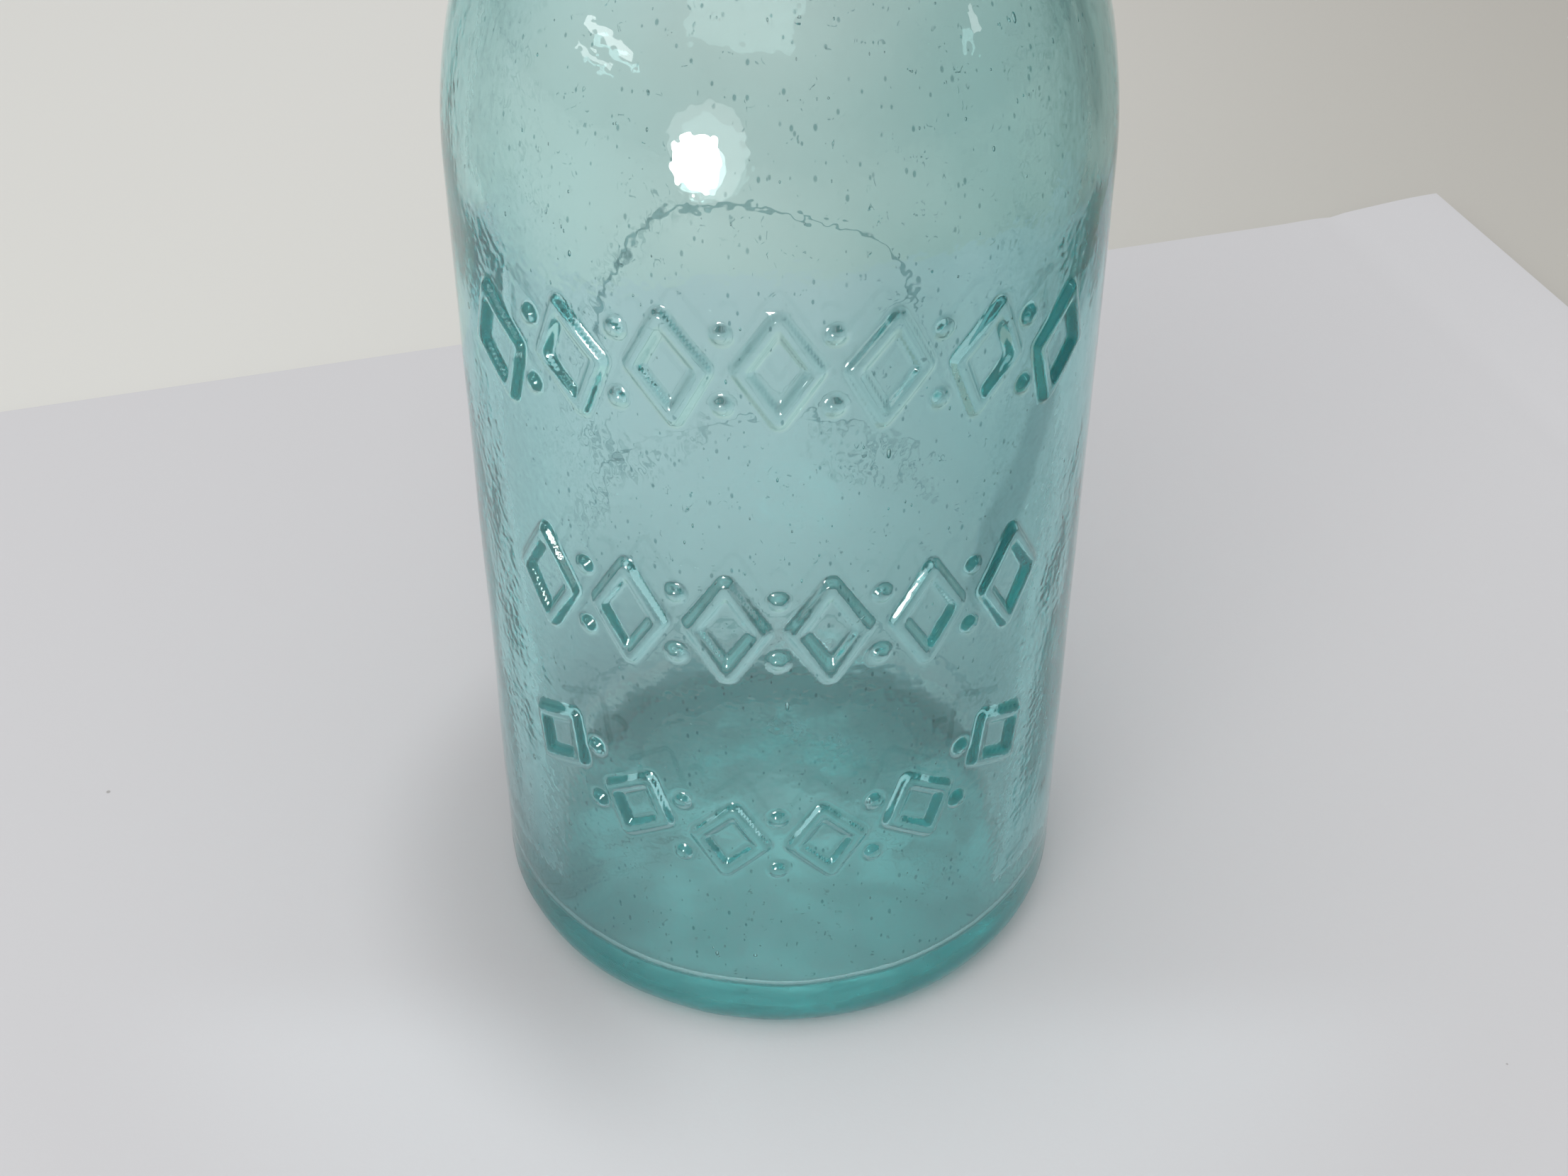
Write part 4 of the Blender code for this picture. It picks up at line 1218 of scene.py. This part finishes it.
def make_world(stage):
    """Plain soft light: a pale ceiling, and walls that are lighter at the front, where the windows are."""
    world = bpy.data.worlds.new("room")
    world.use_nodes = True
    nodes = Nodes(world.node_tree)
    x, y, z = nodes.split(nodes.signal("ShaderNodeTexCoord", output="Generated"))
    walls = nodes.mix(y.ramp(0.5, -0.6), stage.room, stage.windows)
    walls = nodes.mix(z.ramp(0.0, 0.60), stage.low_walls, walls)
    sky = nodes.mix(z.ramp(0.35, 0.85), walls, stage.ceiling)
    background = nodes.tree.nodes["Background"]
    nodes.fill(background.inputs["Color"], nodes.mix(x.ramp(-0.1, 0.9, 0.0, 0.45), sky, BLACK))
    nodes.fill(background.inputs["Strength"], ROOM_STRENGTH)
    bpy.context.scene.world = world


class AddStage(bpy.types.Operator):
    """Adds the table, the sheet of paper, the soft lamps and the room's light"""

    bl_idname = "soda_bottle.add_stage"
    bl_label = "Stage"

    def execute(self, context):
        stage = settings()[4]
        for name, mesh, material in (
            ("paper_sheet", sheet_mesh(), paper_material(stage)),
            ("table", table_mesh(), table_material(stage)),
        ):
            piece = bpy.data.objects.new(name, mesh)
            mesh.materials.append(material)
            context.scene.collection.objects.link(piece)
        for name, shape, size, power, azimuth, elevation, distance, aim, tone in gloss_lamps(stage):
            place = lamp_place(azimuth, elevation, distance, aim)
            add_lamp(name, shape, size, power, place, aim, tone, True)
        add_lamp("ceiling_lamp", "RECTANGLE", (0.8, 0.6), stage.ceiling_power,
                 (-0.20, -0.75, 0.85), (0, 0, 0.05), (1.0, 0.98, 0.95), False)
        make_world(stage)
        return {"FINISHED"}


CAMERA_PLACE = Vector((0.00049, -0.18554, 0.18290))
CAMERA_PITCH = math.radians(38.2)
CAMERA_ROLL = 0.0027
SENSOR_WIDTH = 36.0  # millimetres
FOCAL_PIXELS, FRAME_PIXELS = 3109.0, 2212.0
LIGHT_BOUNCES = 24  # light runs a long way round inside the glass


class AddCamera(bpy.types.Operator):
    """Adds the camera, close over the front of the bottle"""

    bl_idname = "soda_bottle.add_camera"
    bl_label = "Camera"

    def execute(self, context):
        camera = bpy.data.objects.new("camera", bpy.data.cameras.new("camera"))
        camera.data.sensor_width = SENSOR_WIDTH
        camera.data.lens = SENSOR_WIDTH * FOCAL_PIXELS / FRAME_PIXELS
        camera.data.clip_start = 0.01
        tilt = Matrix.Rotation(math.pi / 2 - CAMERA_PITCH, 4, "X")
        camera.matrix_world = Matrix.Translation(CAMERA_PLACE) @ tilt @ Matrix.Rotation(CAMERA_ROLL, 4, "Z")
        context.scene.collection.objects.link(camera)
        context.scene.camera = camera
        context.scene.view_settings.view_transform = "Standard"
        for kind in ("max_bounces", "glossy_bounces", "transmission_bounces"):
            setattr(context.scene.cycles, kind, LIGHT_BOUNCES)
        return {"FINISHED"}


OPERATORS = (AddCamera, AddStage, AddBottleGlass, AddGasket, AddStopperPlates, AddSpringWire)


class SodaBottlePanel(bpy.types.Panel):
    """Lists the pieces of the bottle"""

    bl_idname = "VIEW3D_PT_soda_bottle"
    bl_label = "Soda bottle"
    bl_space_type = "VIEW_3D"
    bl_region_type = "UI"
    bl_category = "Soda bottle"

    def draw(self, context):
        for operator in OPERATORS:
            self.layout.operator(operator.bl_idname)


def register():
    for group in (*GROUPS.values(), *OPERATORS, SodaBottlePanel):
        bpy.utils.register_class(group)
    for name, group in GROUPS.items():
        setattr(bpy.types.Scene, name, PointerProperty(type=group))


def unregister():
    for name in GROUPS:
        delattr(bpy.types.Scene, name)
    for group in (SodaBottlePanel, *reversed(OPERATORS), *reversed(GROUPS.values())):
        bpy.utils.unregister_class(group)


def main():
    register()
    bpy.ops.soda_bottle.add_camera()
    bpy.ops.soda_bottle.add_stage()
    bpy.ops.soda_bottle.add_glass()
    bpy.ops.soda_bottle.add_gasket()
    bpy.ops.soda_bottle.add_plates()
    bpy.ops.soda_bottle.add_wire()
    bpy.context.view_layer.update()


if __name__ == "__main__":
    main()
